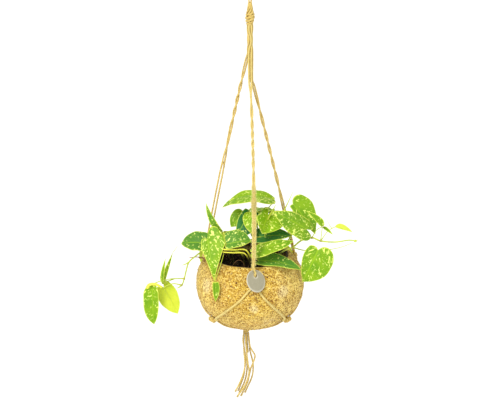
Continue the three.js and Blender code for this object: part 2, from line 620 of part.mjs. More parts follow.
// Reach of a lobe from the notch (0) out to the margin (1), as a share of its furthest.
function lobeAt(edge) {
  if (edge < LOBE_CREST) return 1 - (1 - edge / LOBE_CREST) ** 3;
  return 1 - LOBE_FALL * ((edge - LOBE_CREST) / (1 - LOBE_CREST)) ** 2;
}

// A blade is a sheet of cells with the same split on both faces, closed by walls along its edge.
function blade(leaf) {
  const rows = BLADE_ROWS.length;
  const columns = BLADE_COLUMNS.length;
  const half = BLADE_THICKNESS / 2;
  const places = [];
  for (const lift of [half, -half]) {
    for (const t of BLADE_ROWS) {
      for (const s of BLADE_COLUMNS) places.push(bladePoint(leaf, t, s, lift));
    }
  }
  const under = rows * columns;
  const faces = [];
  const cell = (a, b, c, d) => faces.push(a, b, c, a, c, d);
  for (let r = 0; r < rows - 1; r += 1) {
    for (let c = 0; c < columns - 1; c += 1) {
      const a = r * columns + c;
      const b = a + columns;
      faces.push(a, a + 1, b + 1, a, b + 1, b);
      faces.push(under + a, under + b + 1, under + a + 1, under + a, under + b, under + b + 1);
    }
  }
  for (let r = 0; r < rows - 1; r += 1) {
    const left = r * columns;
    const right = left + columns - 1;
    cell(left, left + columns, under + left + columns, under + left);
    cell(right + columns, right, under + right, under + right + columns);
  }
  for (let c = 0; c < columns - 1; c += 1) {
    const last = (rows - 1) * columns + c;
    cell(c + 1, c, under + c, under + c + 1);
    cell(last, last + 1, under + last + 1, under + last);
  }
  const geometry = new THREE.BufferGeometry().setFromPoints(places);
  geometry.setIndex(faces);
  return geometry;
}

// The petiole leaves the stem, rises in a bend and ends inside the blade, under its midrib.
function petiole(leaf) {
  const from = vector(leaf.from);
  const joint = vector(leaf.joint);
  const halfway = from.clone().lerp(joint, 0.5).add(new THREE.Vector3(0, 0, PETIOLE_RISE));
  const middle = leaf.bend ? vector(leaf.bend) : halfway;
  const meeting = bladePoint(leaf, 0, 0, -PETIOLE_SUNK.joint);
  const inside = bladePoint(leaf, PETIOLE_REACH, 0, -PETIOLE_SUNK.end);
  return rod([from, middle, meeting, inside], PETIOLE_RADIUS, STEPS.petiole, PETIOLE_SIDES);
}

function vine({ name, stem, leaves }) {
  let body = solidOf(rod(stem.map(vector), STEM_RADIUS, Math.round(STEM_STEPS * stem.length), STEM_SIDES));
  for (const leaf of leaves) {
    body = body.add(solidOf(petiole(leaf))).add(solidOf(blade(leaf)));
  }
  return named(name, geometryOf(body), 'leaf', 0.5);
}

function plant() {
  const group = new THREE.Group();
  group.add(named('coir_ball', coirBall(), 'coir'), named('soil', soil(), 'soil'));
  for (const one of VINES) group.add(vine(one));
  return group;
}

function hanger() {
  const group = new THREE.Group();
  group.add(named('hanging_loop', hangingLoop(), 'twine'), named('top_knot', topKnot(), 'twine'));
  for (const leg of LEGS) {
    const tagged = leg.name === 'front';
    const second = tagged ? tagStrand(leg, 1) : legStrand(leg, 1);
    const upperKnot = knot(UPPER_KNOT, upperKnotMiddle(leg), upperKnotAxis(leg));
    group.add(named(`leg_strand_${leg.name}_1`, legStrand(leg, -1), 'twine'));
    group.add(named(`leg_strand_${leg.name}_2`, second, 'twine'));
    group.add(named(`upper_knot_${leg.name}`, upperKnot, 'twine'));
  }
  for (const { pair, azimuth } of LOWER_KNOTS) {
    const label = pair.join('_');
    const lowerKnot = knot(LOWER_KNOT, lowerKnotMiddle(azimuth), sideways(azimuth));
    group.add(named(`lower_knot_${label}`, lowerKnot, 'twine'));
    for (const legName of pair) {
      const leg = LEGS.find((one) => one.name === legName);
      const turn = THREE.MathUtils.euclideanModulo(azimuth - leg.azimuth + 180, 360) - 180;
      const side = Math.sign(turn);
      group.add(named(`net_strand_${legName}_to_${label}`, netStrand(leg, azimuth, side), 'twine'));
      group.add(named(`under_strand_${label}_${legName}`, underStrand(azimuth, -side), 'twine'));
    }
  }
  const bottomKnot = knot(BOTTOM_KNOT, bottomKnotMiddle(), new THREE.Vector3(0, 0, 1));
  group.add(named('bottom_knot', bottomKnot, 'twine'));
  TASSEL.forEach((points, i) => group.add(named(`tassel_strand_${i + 1}`, tasselStrand(points), 'twine')));
  group.add(named('tag', tag(), 'tag', 0.8));
  return group;
}

const part = new THREE.Group();
const hung = new THREE.Group();
hung.position.z = -LOOP_TOP;
hung.add(plant(), hanger());
part.add(hung);

export default part;
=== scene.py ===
"""A satin pothos in a hanging ball pot of pressed coconut fibre, in a net of knotted jute twine.

Shapes are worked out in millimetres from the middle of the ball, as the part's own source has them,
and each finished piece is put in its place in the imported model's frame, in metres.
"""

import math
import random

import bmesh
import bpy
from mathutils import Matrix, Vector, noise


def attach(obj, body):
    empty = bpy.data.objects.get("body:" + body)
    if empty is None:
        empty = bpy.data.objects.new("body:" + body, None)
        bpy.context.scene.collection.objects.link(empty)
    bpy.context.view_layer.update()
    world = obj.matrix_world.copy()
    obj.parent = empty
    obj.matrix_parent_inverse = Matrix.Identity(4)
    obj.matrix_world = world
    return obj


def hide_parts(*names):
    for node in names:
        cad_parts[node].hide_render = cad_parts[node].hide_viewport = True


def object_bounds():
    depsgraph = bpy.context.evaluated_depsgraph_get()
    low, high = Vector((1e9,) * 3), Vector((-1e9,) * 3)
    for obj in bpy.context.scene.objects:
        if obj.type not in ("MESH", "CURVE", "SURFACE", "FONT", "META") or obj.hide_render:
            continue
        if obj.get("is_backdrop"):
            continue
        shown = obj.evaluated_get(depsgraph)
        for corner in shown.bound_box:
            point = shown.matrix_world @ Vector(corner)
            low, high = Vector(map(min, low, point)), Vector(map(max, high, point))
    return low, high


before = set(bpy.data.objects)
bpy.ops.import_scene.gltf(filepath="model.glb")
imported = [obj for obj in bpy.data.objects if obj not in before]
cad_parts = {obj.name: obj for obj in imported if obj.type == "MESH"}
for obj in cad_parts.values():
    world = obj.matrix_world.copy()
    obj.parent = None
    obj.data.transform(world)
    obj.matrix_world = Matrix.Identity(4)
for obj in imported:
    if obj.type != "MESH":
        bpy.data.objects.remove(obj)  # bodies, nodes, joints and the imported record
cad_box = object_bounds()

# Driving dimensions, in millimetres
LOOP_TOP = 460  # inside top of the hanging loop above the middle of the ball
GAP = 0.35  # between a strand and the knot or ball that it meets

BALL_RADIUS = 76.6
BALL_HALF_HEIGHT = 66
RIM_HEIGHT = 42
WALL = 7.5
SOIL_CROWN = 35
CRUMBS_REACH = 64  # how far from the middle of the soil they lie

TWINE = 2.4
LEG_RADIUS = 1.35  # half the thickness of a strand in a leg, which is fluffed up a little
STRAND_OFFSET = 1.7  # from the middle of a pair of strands to each of them
BUNDLE_RADIUS = 3.4
BUNDLE_HEIGHTS = (372, 364, 356, 348)
BUNDLE_TWIST = 1.1  # how far the gathered strands turn round each other and back
LEG_STEPS = 64
TOP_KNOT_LOW = 380
TOP_KNOT_HIGH = 414
# Its radius at shares of its height, and how far inside that its core ends
TOP_KNOT_WIDTHS = [(0, 4.2), (0.14, 5.4), (0.34, 6.8), (0.56, 6.0), (0.78, 4.7), (1, 3.3)]
TOP_KNOT_CORE_SUNK = 2.6
UPPER_KNOT = {"height": 25.7, "radius": 3.6, "length": 9, "wraps": 3}
UPPER_KNOT_LEAN = math.radians(20)
LOWER_KNOT = {"height": -41, "radius": 3.8, "length": 16, "wraps": 4}
LOWER_KNOT_SUNK = 1  # how far it presses into the felt
BOTTOM_KNOT = {"x": -5.5, "radius": 4.6, "length": 9.5, "wraps": 3}
KNOT_CLEAR = 1.1  # where a strand bends, past the end of its knot
NET_SHARES = (0.16, 0.32, 0.5, 0.68, 0.83, 0.94)  # where its strands have their places, from knot to knot
NET_SHORT = 5  # degrees that it stays short of the middle of its lower knot
UNDER_SHARES = (0.09, 0.3, 0.5, 0.7, 0.88)
SUNK_IN_FELT = -0.7  # how far proud of the ball the strands under and behind it lie
RING_ANGLE = math.pi / 6  # in the bundle, from a leg's azimuth to each of its strands

YARN_STEP = 0.85  # between two rings of a strand
COIL_STEP = 0.8
YARN_TURN = 8.5  # length in which its plies go round once
PLIES = 3
PLY_DEPTH = 0.24  # of the groove between two plies, as a share of the radius
HAIR_LONGEST = 3.2
HAIR_SHARES = (0, 0.35, 0.7, 1)  # where along a hair its points lie

WIDEST = 0.24  # where a blade is widest, as a share of its midrib
BLADE_BASE = 0.8  # its width at the joint, as a share of the widest
BLADE_HALF = 0.22  # half its thickness
LOBE_CREST = 0.55  # where between midrib and margin a lobe reaches furthest back
LOBE_FALL = 0.55  # share of its reach that it loses out to the margin
LEAF_WAVE = 0.022  # rise and fall of its margin, as a share of its whole width
PUCKER = 0.18  # between its side veins
RIB_SUNK = 0.35
PETIOLE_THINNEST = 0.65
SPRIG_THICKENED = 1.2
ON_STEM = 2  # the stem's place among a vine's materials, after both faces of its leaves

# How many of each small thing
COIR_FIBRES = 2600
DARK_BITS = 900
RIM_HAIRS = 260
CRUMBS = 520
RIM_CRUMBS = 26
FINE_ROOTS = 34
TIP_FIBRES = 60


def level(height):
    """A height above the middle of the ball, in the frame's metres."""
    return (height - LOOP_TOP) / 1000


# The inside of the pot, where shade is painted dark, in the frame's metres
MOUTH_REACH = 0.0535  # how far from the ball's middle axis it is in shade
MOUTH_TOP = level(60)  # where the shade ends, above the rim
MOUTH_LOW = level(0)  # and where it starts, well below the soil

# The ball's colour: darker towards its rim, more orange towards its foot, warmest round a place in
# front, and rubbed pale in spots, each with its middle and how far it reaches
UNDER_RIM = (level(14), level(36))
LOW_BALL = (level(-15), level(-75))
WARM_MIDDLE = (-8, -76, 26)
PALE_SPOTS = [((47, -59, 9), 10), ((-62, -43, 12), 12), ((6, -74, -12), 8), ((-20, 70, 0), 14)]

UP = Vector((0, 0, 1))
TO_FRAME = Matrix.Scale(0.001, 4) @ Matrix.Translation((0, 0, -LOOP_TOP))

# The legs: azimuth of the upper knot, the height at which the leg leaves the bundle, how far it bows
# to the right, the lay of its two strands as (share of the way down, half distance, turns), how much
# painted light makes it paler, its net strands, and its fuzz as (lowest, highest, hairs a millimetre,
# longest).
PLAIN_NET = {"radius": 1.2, "pale": 0.0, "proud": SUNK_IN_FELT, "bend": 3.2}
LEGS = {
    "front": {
        "azimuth": 4, "split": 302, "bow": 2.4,
        "lay": [(0, 1.7, 0), (0.08, 1.2, 0.22), (0.54, 1.2, 3.6), (0.66, 1.5, 4), (0.8, 1.5, 4),
                (1, 1.55, 4)],
        "pale": 0.3, "net": {"radius": 1.7, "pale": 0.35, "proud": 0.1, "bend": 1.35},
        "fuzz": [(40, 125, 6.0, 4.4), (125, 160, 14.0, 5.5), (160, 300, 4.0, 3.4)],
    },
    "left": {
        "azimuth": -121, "split": 340, "bow": -2.2,
        "lay": [(0, 1.7, 0), (0.05, 1.4, 0.16), (0.42, 1.35, 2.3), (0.52, 1.7, 2.6), (0.62, 2.1, 2.66),
                (0.92, 2.1, 2.66), (1, 1.55, 2.5)],
        "pale": 0.0, "net": PLAIN_NET, "fuzz": [],
    },
    "right": {
        "azimuth": 121, "split": 302, "bow": 0.8,
        "lay": [(0, 1.7, 0), (0.06, 1.35, 0.34), (0.75, 1.3, 3.34), (0.9, 1.4, 3.9), (1, 1.55, 4)],
        "pale": 0.0, "net": PLAIN_NET, "fuzz": [],
    },
}
LOWER_KNOTS = [(("front", "left"), -58), (("front", "right"), 58), (("left", "right"), 180)]

# The tag: its middle, its directions, its sizes and the height at which its strand leaves the leg
TAG = {
    "middle": (8.2, -77.5, 31.7), "across": (0.737, 0.676, -0.014), "up": (-0.284, 0.328, 0.901),
    "radius": 15.9, "thickness": 1.2, "hole_radius": 3.3, "hole": (1.5, 8), "strand_leaves": 64,
}

# The free ends of the tassel, each from under the bottom knot to its frayed tip
TASSEL = [
    [(-8.6, -1.6, -76), (-9.8, -3, -85), (-8, -4, -100), (-6.3, -3.4, -116), (-8.4, -3, -133),
     (-13.5, -2.5, -149), (-19.9, -2, -163)],
    [(-5.5, -3.4, -76), (-5.6, -4.4, -86), (-4.8, -6.4, -102), (-3.2, -6.6, -118), (-1.4, -6, -133),
     (-6, -5.6, -152), (-17.2, -5, -170)],
    [(-2.4, -1.6, -76), (-2, -2.4, -85), (0.8, -2.6, -98), (7, -2.6, -110), (3.8, -2.6, -122),
     (0.9, -2.8, -130), (-3.4, -2.2, -150), (-12, -1.8, -170)],
    [(-2.4, 1.7, -76), (-1.2, 2, -88), (0, 2.4, -104), (3.8, 2.8, -121), (4.5, 2.6, -132),
     (2.8, 2.4, -144), (-6.3, 2, -166)],
    [(-5.5, 3.5, -76), (-5.2, 5, -90), (-4.6, 5.6, -110), (-4, 5.6, -130), (-7, 5, -150),
     (-14.5, 4.2, -168)],
    [(-8.6, 1.7, -76), (-9, 3, -88), (-8.4, 3.6, -106), (-7.2, 2.6, -124), (-9, 1.8, -142),
     (-16, 1.4, -163)],
]

# Roots in sight: one arches over the soil in front, two lie over the rim on the left
ROOTS = [
    [(-27, -40, 34), (-22, -45, 46), (-16, -46, 51), (-10, -46, 48), (-7, -44, 35)],
    [(-64, -16, 43), (-72, -14, 43.5), (-79, -12, 42.5), (-85, -11, 41.5)],
    [(-60, -26, 40), (-66, -20, 44), (-71, -17, 43), (-73, -15, 44.5)],
]


def leaf(start, joint, tip, face, left, right, fold, bow, tone, marks, base=BLADE_BASE, bend=None):
    """One leaf: where its petiole leaves the stem, its joint, its tip, the way it faces and its form.

    left and right, as seen on its face with the tip up, each have their widest half, the reach of
    the lobe back past the joint as a share of the midrib, and how full they stay towards the tip.
    tone runs from a dark leaf in the shade (0) to a bright one (1), marks is how much it is splashed.
    """
    return {
        "start": Vector(start), "joint": Vector(joint), "tip": Vector(tip), "face": Vector(face),
        "left": left, "right": right, "fold": fold, "bow": bow, "tone": tone, "marks": marks,
        "base": base, "bend": bend and Vector(bend),
    }


def even(half):
    """Both halves of a leaf whose sides are alike."""
    return (half, 0.17, 1.8), (half, 0.17, 1.8)


VINES = {
    "left_trailing_vine": {
        "stem": [(-8, -20, 22), (-8, -20, 38), (-14, -32, 57), (-37, -33, 63), (-62, -21, 57),
                 (-77, -13, 44), (-86, -10, 34), (-89.5, -9, 22), (-92.5, -8, 9), (-96, -8, -1),
                 (-103, -8, -6)],
        "leaves": [
            leaf((-92.5, -8, 9), (-137, -12, 0.5), (-135, -20, -55.5), (-0.2, -0.95, 0.1),
                 (9, 0.05, 3.4), (13, 0.02, 4.2), 0.35, 3, 0.85, 0.6, base=0.5),
            leaf((-96, -8, -1), (-121, -7, -5), (-101.5, -12, -42.5), (0.1, 0.95, 0.2),
                 (18, 0.1, 3.2), (13, 0.2, 2.4), 0.3, 2, 1, 0.1),
            leaf((-92.5, -8, 9), (-122, -9, 1), (-108.5, -4, 46.5), (0.3, -0.95, -0.1),
                 (6.4, 0, 1.7), (1.2, 0, 1.6), 0.5, 1, 0.8, 0.8, base=0.4, bend=(-107, -8, 8)),
            leaf((-92.5, -8, 9), (-123, -11, 4), (-118.5, -12, 41), (-0.3, -0.95, -0.1),
                 (4, 0, 1.8), (1.6, 0, 1.6), 0.5, 1, 0.8, 0.6, base=0.4, bend=(-107, -9, 9)),
        ],
        "sprigs": [
            ([(-86, -10, 34), (-91, -10.5, 31.5), (-95.2, -11, 30.1)], 1.0, 0.3),
            ([(-145, -14.5, -3), (-141, -15, 2.5), (-133, -15, 3), (-124, -13.5, -2)], 2.0, 1.3, True),
            ([(-108, -4, 47), (-104.5, -4, 52), (-101.5, -4, 57)], 0.4, 0.15),
        ],
    },
    "left_crown": {
        "stem": [(-24, -10, 20), (-24, -10, 38), (-27, -14, 52), (-34, -20, 62), (-44, -22, 66)],
        "leaves": [
            leaf((-34, -20, 62), (-40, -20, 84.5), (-61.5, -10, 123), (-0.4, -0.85, 0.3),
                 (7, 0.02, 2.2), (2.6, 0.02, 1.6), 0.4, 5, 0.5, 0.45),
            leaf((-44, -22, 66), (-59, -22, 67), (-96.5, -12, 62.5), (-0.1, -0.6, 0.8),
                 (15, 0.06, 2.4), (17, 0.08, 3.8), 0.25, 3, 0.28, 0.5),
            leaf((-44, -22, 66), (-59.5, -32, 77), (-50, -60, 25), (-0.1, -0.9, 0.4),
                 (25, 0.28, 0.8), (10.5, 0.03, 0.8), 0.12, 3, 0.78, 0.95),
            leaf((-34, -20, 62), (-33, -40, 72), (2, -36, 75.5), (0.1, -0.7, 0.75),
                 (19, 0.05, 3.6), (8.5, 0.06, 2.4), 0.15, 3, 0.38, 0.75),
            leaf((-27, -14, 52), (-9, 14, 97.5), (-27, 6, 81), (-0.1, -0.75, 0.65),
                 (12, 0.05, 1.8), (12.5, 0.1, 2.4), 0.3, 2, 0.7, 0.4),
            leaf((-34, -20, 62), (-49, -65, 24.5), (-48.5, -68, -3), (0.1, -0.95, 0.2),
                 (6.4, 0.05, 1.9), (3.8, 0.05, 1.9), 0.3, 2, 0.7, 0.4, bend=(-40, -58, 52)),
        ],
        "sprigs": [
            ([(4, -24, 34), (-6, -38, 63), (-22, -43, 65.5), (-40, -43, 66.5), (-52, -38, 72)],
             1.1, 0.8, True),
            ([(2, -26, 34), (-8, -38, 58), (-24, -42, 60.5), (-40, -42, 62.5), (-50, -38, 69)],
             0.9, 0.7, True),
        ],
    },
    "upper_arched_leaf": {
        "stem": [(12, 14, 22), (12, 14, 38), (14, 16, 62), (18, 14, 86)],
        "leaves": [
            leaf((18, 14, 86), (33.5, 12, 119.5), (-39, 12, 108), (0, -0.25, 0.97),
                 (23, 0.03, 2.8), (10.5, 0.02, 2.6), 0.2, 15, 0.8, 0.9, base=0.5),
            leaf((14, 16, 62), (4, 2, 104.5), (7.5, -22, 77.5), (-0.3, -0.7, 0.65),
                 (6, 0.04, 1.8), (14.5, 0.05, 2.2), 0.2, 3, 1, 0.95),
            leaf((14, 16, 62), (0.5, 8, 103.5), (-19, -12, 73.5), (-0.1, -0.8, 0.6),
                 (20, 0.1, 3.4), (10.5, 0.03, 2.2), 0.2, 2, 0.05, 0.35),
        ],
        "sprigs": [([(25, -16, 100), (30, -14, 110), (35.8, -12, 120.2)], 1.3, 0.3)],
    },
    "middle_crown": {
        "stem": [(12, -16, 22), (12, -16, 38), (14, -17, 54), (20, -16, 68)],
        "leaves": [
            leaf((20, -16, 68), (25.5, -4, 103.5), (17, -34, 85.5), (-0.25, -0.75, 0.6),
                 (28, 0.2, 6), (13.5, 0.36, 1.6), 0.15, 3, 1, 0.9),
            leaf((14, -17, 54), (4, -40, 60.5), (61, -42, 78), (-0.2, -0.45, 0.87),
                 (9, 0.06, 2.4), (16.5, 0.06, 3.2), 0.2, 3, 0.75, 0.85),
            leaf((20, -16, 68), (8.5, -12, 71.5), (59, -20, 77.5), (0, -0.5, 0.86),
                 (16, 0.16, 2), (13, 0.2, 2), 0.2, 3, 0.1, 0.3),
            leaf((14, -17, 54), (12, -38, 46.5), (72.5, -48, 36.5), (0.1, -0.4, 0.9),
                 (15, 0.08, 2.2), (11, 0.06, 2.2), 0.2, 6, 0.3, 0.4),
        ],
    },
    "right_crown": {
        "stem": [(40, 2, 20), (40, 2, 38), (46, 2, 54), (56, 2, 66), (62, 2, 78)],
        "leaves": [
            leaf((62, 2, 78), (79, -14, 85), (32, -36, 119), (0.3, -0.75, 0.55),
                 (20, 0.16, 2.4), (14, 0.16, 2.3), 0.15, 3, 0.7, 1),
            leaf((62, 2, 78), (60, 10, 113.5), (91.5, -2, 73), (0.3, -0.75, 0.5),
                 (23.5, 0.14, 1.8), (7, 0.02, 1.6), 0.2, 3, 0.75, 0.6),
        ],
        "sprigs": [([(47, 6, 104), (54, 7, 119), (59.9, 8, 132.3)], 0.8, 0.2)],
    },
    "right_trailing_vine": {
        "stem": [(34, -14, 20), (34, -14, 38), (46, -14, 52), (59.5, -10, 56.5), (72, -4, 64.5),
                 (86.7, -6, 69.5), (99.1, -14, 67.7), (118.9, -14, 66), (139.9, -14, 68.8),
                 (148.3, -14, 67.5)],
        "leaves": [
            leaf((86.7, -6, 69.5), (101.5, -20, 91.5), (79, -22, 115), (0.3, -0.85, 0.4),
                 (2.4, 0, 1.6), (7, 0.02, 2), 0.3, 2, 0.9, 0.6, base=0.5),
            leaf((99.1, -14, 67.7), (102, -14, 88.5), (116, -14, 77), (0.2, -0.9, 0.4),
                 (3.2, 0, 1.8), (1.8, 0, 1.6), 0.3, 1, 0.9, 0.2, base=0.3),
            leaf((99.1, -14, 67.7), (119.5, -14, 89), (143, -14, 81), (0.2, -0.7, 0.7),
                 (6.2, 0, 2.2), (1.8, 0, 1.8), 0.3, 1, 1.8, 0.1, base=0.3),
            leaf((59.5, -10, 56.5), (95, -22, 57), (73.5, -30, 12.5), (0.05, -0.92, 0.35),
                 (27.5, 0.18, 2.9), (16, 0.07, 1.7), 0.12, 3, 0.85, 0.9, bend=(78, -16, 54)),
        ],
        "sprigs": [
            ([(115, -14, 85.5), (111, -14, 92), (108, -14, 98.3)], 0.45, 0.2),
            ([(100, -20, 56), (114.4, -20, 57.5), (130, -19, 61), (142.5, -18, 66)], 0.55, 0.25),
            ([(147, -14, 67.6), (149.5, -14, 68), (151.5, -14, 69.8)], 0.6, 0.15),
        ],
        "bud": [(145.5, -14, 67.6), (147.5, -14, 67.6), (150, -14, 67.8)],
    },
    "back_left_vine": {
        "stem": [(-30, 18, 20), (-30, 18, 38), (-33, 30, 52), (-38, 46, 58), (-44, 60, 50),
                 (-48, 70, 34), (-50, 77, 14), (-48, 81, -6), (-44, 80, -22)],
        "leaves": [
            leaf((-44, 60, 50), (-40, 74, 46), (-30, 104, 14), (0.2, 0.6, 0.8),
                 *even(20), 0.25, 5, 0.85, 0.8),
            leaf((-50, 77, 14), (-52, 90, 18), (-56, 98, -32), (-0.2, 0.95, 0.1),
                 *even(19), 0.25, 4, 0.7, 0.7),
            leaf((-44, 80, -22), (-38, 86, -24), (-32, 84, -60), (0.1, 1, 0.1),
                 *even(15), 0.3, 4, 0.9, 0.5),
        ],
        "sprigs": [([(-44, 80, -22), (-43, 82, -29), (-45, 84, -36)], 0.9, 0.3)],
    },
    "back_right_vine": {
        "stem": [(26, 24, 20), (26, 24, 38), (28, 36, 54), (32, 52, 62), (38, 66, 50), (40, 76, 30),
                 (38, 82, 10)],
        "leaves": [
            leaf((28, 36, 54), (52, 54, 70), (84, 74, 52), (0.1, 0.2, 0.97),
                 *even(19), 0.25, 6, 0.8, 0.7),
            leaf((32, 52, 62), (16, 68, 70), (0, 106, 46), (-0.1, 0.5, 0.85),
                 *even(21), 0.25, 5, 0.7, 0.8),
            leaf((38, 76, 22), (44, 86, 18), (46, 98, -28), (0.3, 0.95, 0.3),
                 *even(17), 0.25, 4, 0.85, 0.6),
            leaf((38, 82, 10), (22, 90, 8), (10, 92, -38), (-0.1, 1, 0.1),
                 *even(17), 0.3, 4, 0.75, 0.7),
        ],
        "sprigs": [([(38, 82, 10), (39, 84, 3), (37, 86, -4)], 0.9, 0.3)],
    },
    "back_crown": {
        "stem": [(-8, 22, 20), (-8, 22, 38), (-8, 32, 56), (-6, 42, 70)],
        "leaves": [
            leaf((-8, 32, 56), (-10, 48, 76), (-14, 90, 62), (-0.1, 0.3, 0.95),
                 *even(15), 0.3, 5, 0.7, 0.6),
            leaf((-6, 42, 70), (12, 54, 84), (30, 92, 68), (0.1, 0.3, 0.95),
                 *even(17), 0.25, 6, 0.8, 0.7),
            leaf((-8, 32, 56), (8, 36, 90), (36, 34, 94), (0, 0.2, 0.97),
                 *even(14), 0.3, 4, 0.9, 0.6),
        ],
    },
}


# Camera and lights


def add_camera():
    """Looks down a little at the front, with the loop just above the picture's edge."""
    distance, tilt = 7, math.radians(20)
    aim = Vector((0, 0, -0.3364))
    back = Vector((0, -math.cos(tilt), math.sin(tilt)))
    camera = bpy.data.objects.new("camera", bpy.data.cameras.new("camera"))
    camera.data.lens = 360  # so far off that near and far parts keep their size
    camera.location = aim + back * distance
    camera.rotation_euler = (-back).to_track_quat("-Z", "Y").to_euler()
    bpy.context.scene.collection.objects.link(camera)
    bpy.context.scene.camera = camera


def add_light(name, place, aim, size, power):
    """A round lamp with a slightly warm light."""
    lamp = bpy.data.lights.new(name, "AREA")
    lamp.shape = "DISK"
    lamp.size = size
    lamp.energy = power
    lamp.color = (1, 0.98, 0.94)
    light = bpy.data.objects.new(name, lamp)
    light.location = place
    light.rotation_euler = (Vector(aim) - Vector(place)).to_track_quat("-Z", "Y").to_euler()
    bpy.context.scene.collection.objects.link(light)


def add_studio():
    scene = bpy.context.scene
    scene.view_settings.view_transform = "Standard"
    world = bpy.data.worlds.new("studio")
    scene.world = world
    world.use_nodes = True
    sky = world.node_tree.nodes["Background"]
    sky.inputs["Color"].default_value = (1, 0.99, 0.97, 1)
    sky.inputs["Strength"].default_value = 0.78
    middle = (0, 0, -0.4)
    sun = bpy.data.lights.new("daylight", "SUN")
    sun.energy = 1.75
    sun.angle = math.radians(25)
    lamp = bpy.data.objects.new("daylight", sun)
    lamp.rotation_euler = (math.radians(38), 0, math.radians(-30))
    scene.collection.objects.link(lamp)
    add_light("key", (-1.1, -1.9, 0.9), middle, size=0.8, power=18)
    add_light("fill", (1.6, -1.7, 0.1), middle, size=1.0, power=9)
    bm = bmesh.new()
    bmesh.ops.create_grid(bm, x_segments=1, y_segments=1, size=30)
    bmesh.ops.translate(bm, verts=bm.verts, vec=(0, 12, -1.15))
    mesh = bpy.data.meshes.new("floor")
    bm.to_mesh(mesh)
    bm.free()
    mesh.materials.append(plain_floor())
    floor = bpy.data.objects.new("floor", mesh)
    scene.collection.objects.link(floor)
    floor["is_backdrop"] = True


# Materials


class Nodes:
    """A node tree with short ways to add and join its nodes."""

    def __init__(self, tree):
        self.tree = tree
        tree.nodes.clear()

    def add(self, kind, inputs=None, **settings):
        node = self.tree.nodes.new(kind)
        for key, value in settings.items():
            setattr(node, key, value)
        for key, value in (inputs or {}).items():
            self.feed(node.inputs[key], value)
        return node

    def feed(self, socket, value):
        if isinstance(value, bpy.types.NodeSocket):
            self.tree.links.new(value, socket)
        else:
            socket.default_value = value

    def math(self, operation, a, b=0.0, clamp=False):
        node = self.add("ShaderNodeMath", {0: a, 1: b}, operation=operation, use_clamp=clamp)
        return node.outputs[0]

    def plus(self, a, b):
        return self.math("ADD", a, b)

    def less(self, a, b):
        return self.math("SUBTRACT", a, b)

    def times(self, a, b):
        return self.math("MULTIPLY", a, b)

    def vector(self, operation, inputs):
        return self.add("ShaderNodeVectorMath", inputs, operation=operation).outputs

    def parts(self, vector):
        return self.add("ShaderNodeSeparateXYZ", {"Vector": vector}).outputs

    def between(self, value, low, high, to_low=0.0, to_high=1.0):
        """A smooth step: to_low where the value is at low, to_high where it is at high."""
        given = {"Value": value, "From Min": low, "From Max": high, "To Min": to_low, "To Max": to_high}
        return self.add("ShaderNodeMapRange", given, interpolation_type="SMOOTHSTEP").outputs["Result"]

    def mix(self, factor, a, b):
        """One colour laid over another. Plain colours are given without their alpha."""
        node = self.add("ShaderNodeMix", {0: factor}, data_type="RGBA")
        for number, value in ((6, a), (7, b)):
            self.feed(node.inputs[number], (*value, 1) if isinstance(value, tuple) else value)
        return node.outputs[2]

    def noise(self, vector, scale, detail=2.0, roughness=0.5, distortion=0.0):
        given = {"Vector": vector, "Scale": scale, "Detail": detail, "Roughness": roughness,
                 "Distortion": distortion}
        return self.add("ShaderNodeTexNoise", given).outputs["Fac"]

    def group(self, tree, **inputs):
        node = self.add("ShaderNodeGroup", node_tree=tree)
        for key, value in inputs.items():
            self.feed(node.inputs[key], value)
        return node.outputs

    def attribute(self, name):
        node = self.add("ShaderNodeAttribute", attribute_type="GEOMETRY", attribute_name=name)
        return node.outputs["Fac"]

    def uv(self, name):
        return self.add("ShaderNodeUVMap", uv_map=name).outputs["UV"]


class Skin(Nodes):
    """A material with one Principled shader. Plain values are set on the shader's own sockets."""

    def __init__(self, name, roughness, **sockets):
        self.made = bpy.data.materials.new(name)
        self.made.use_nodes = True
        super().__init__(self.made.node_tree)
        self.shader = self.add("ShaderNodeBsdfPrincipled", {"Roughness": roughness})
        for key, value in sockets.items():
            self.shader.inputs[key.replace("_", " ")].default_value = value
        self.add("ShaderNodeOutputMaterial", {"Surface": self.shader.outputs["BSDF"]})
        self.place = self.add("ShaderNodeTexCoord").outputs["Object"]

    def patches(self, scale, contrast):
        return self.group(PATCHES, Vector=self.place, Scale=scale, Contrast=contrast)["Value"]

    def away(self, middle):
        """Distance in metres from a place on the ball that is given in millimetres."""
        return self.vector("DISTANCE", {0: self.place, 1: TO_FRAME @ Vector(middle)})["Value"]

    def pot_shade(self):
        return self.group(POT_SHADE, Vector=self.place)["Shade"]

    def finish(self, colour, grain, roughness, depth, relief=None):
        """Joins the colour, the roughness and a relief so many metres deep. Returns the material.

        roughness is a socket, or two values that it goes between as the grain does from 0.3 to
        0.7. The grain is the relief too where no other is given.
        """
        if isinstance(roughness, tuple):
            roughness = self.between(grain, 0.3, 0.7, *roughness)
        self.feed(self.shader.inputs["Base Color"], colour)
        self.feed(self.shader.inputs["Roughness"], roughness)
        height = grain if relief is None else relief
        bump = self.add("ShaderNodeBump", {"Height": height, "Distance": depth, "Strength": 1.0})
        self.feed(self.shader.inputs["Normal"], bump.outputs["Normal"])
        return self.made


def new_group(name, inputs, outputs):
    """A shader node group. An input without a value is a vector, everything else a number."""
    tree = bpy.data.node_groups.new(name, "ShaderNodeTree")
    for label, value in inputs.items():
        kind = "NodeSocketVector" if value is None else "NodeSocketFloat"
        socket = tree.interface.new_socket(label, in_out="INPUT", socket_type=kind)
        if value is not None:
            socket.default_value = value
    for label in outputs:
        tree.interface.new_socket(label, in_out="OUTPUT", socket_type="NodeSocketFloat")
    nodes = Nodes(tree)
    return tree, nodes, nodes.add("NodeGroupInput").outputs, nodes.add("NodeGroupOutput").inputs


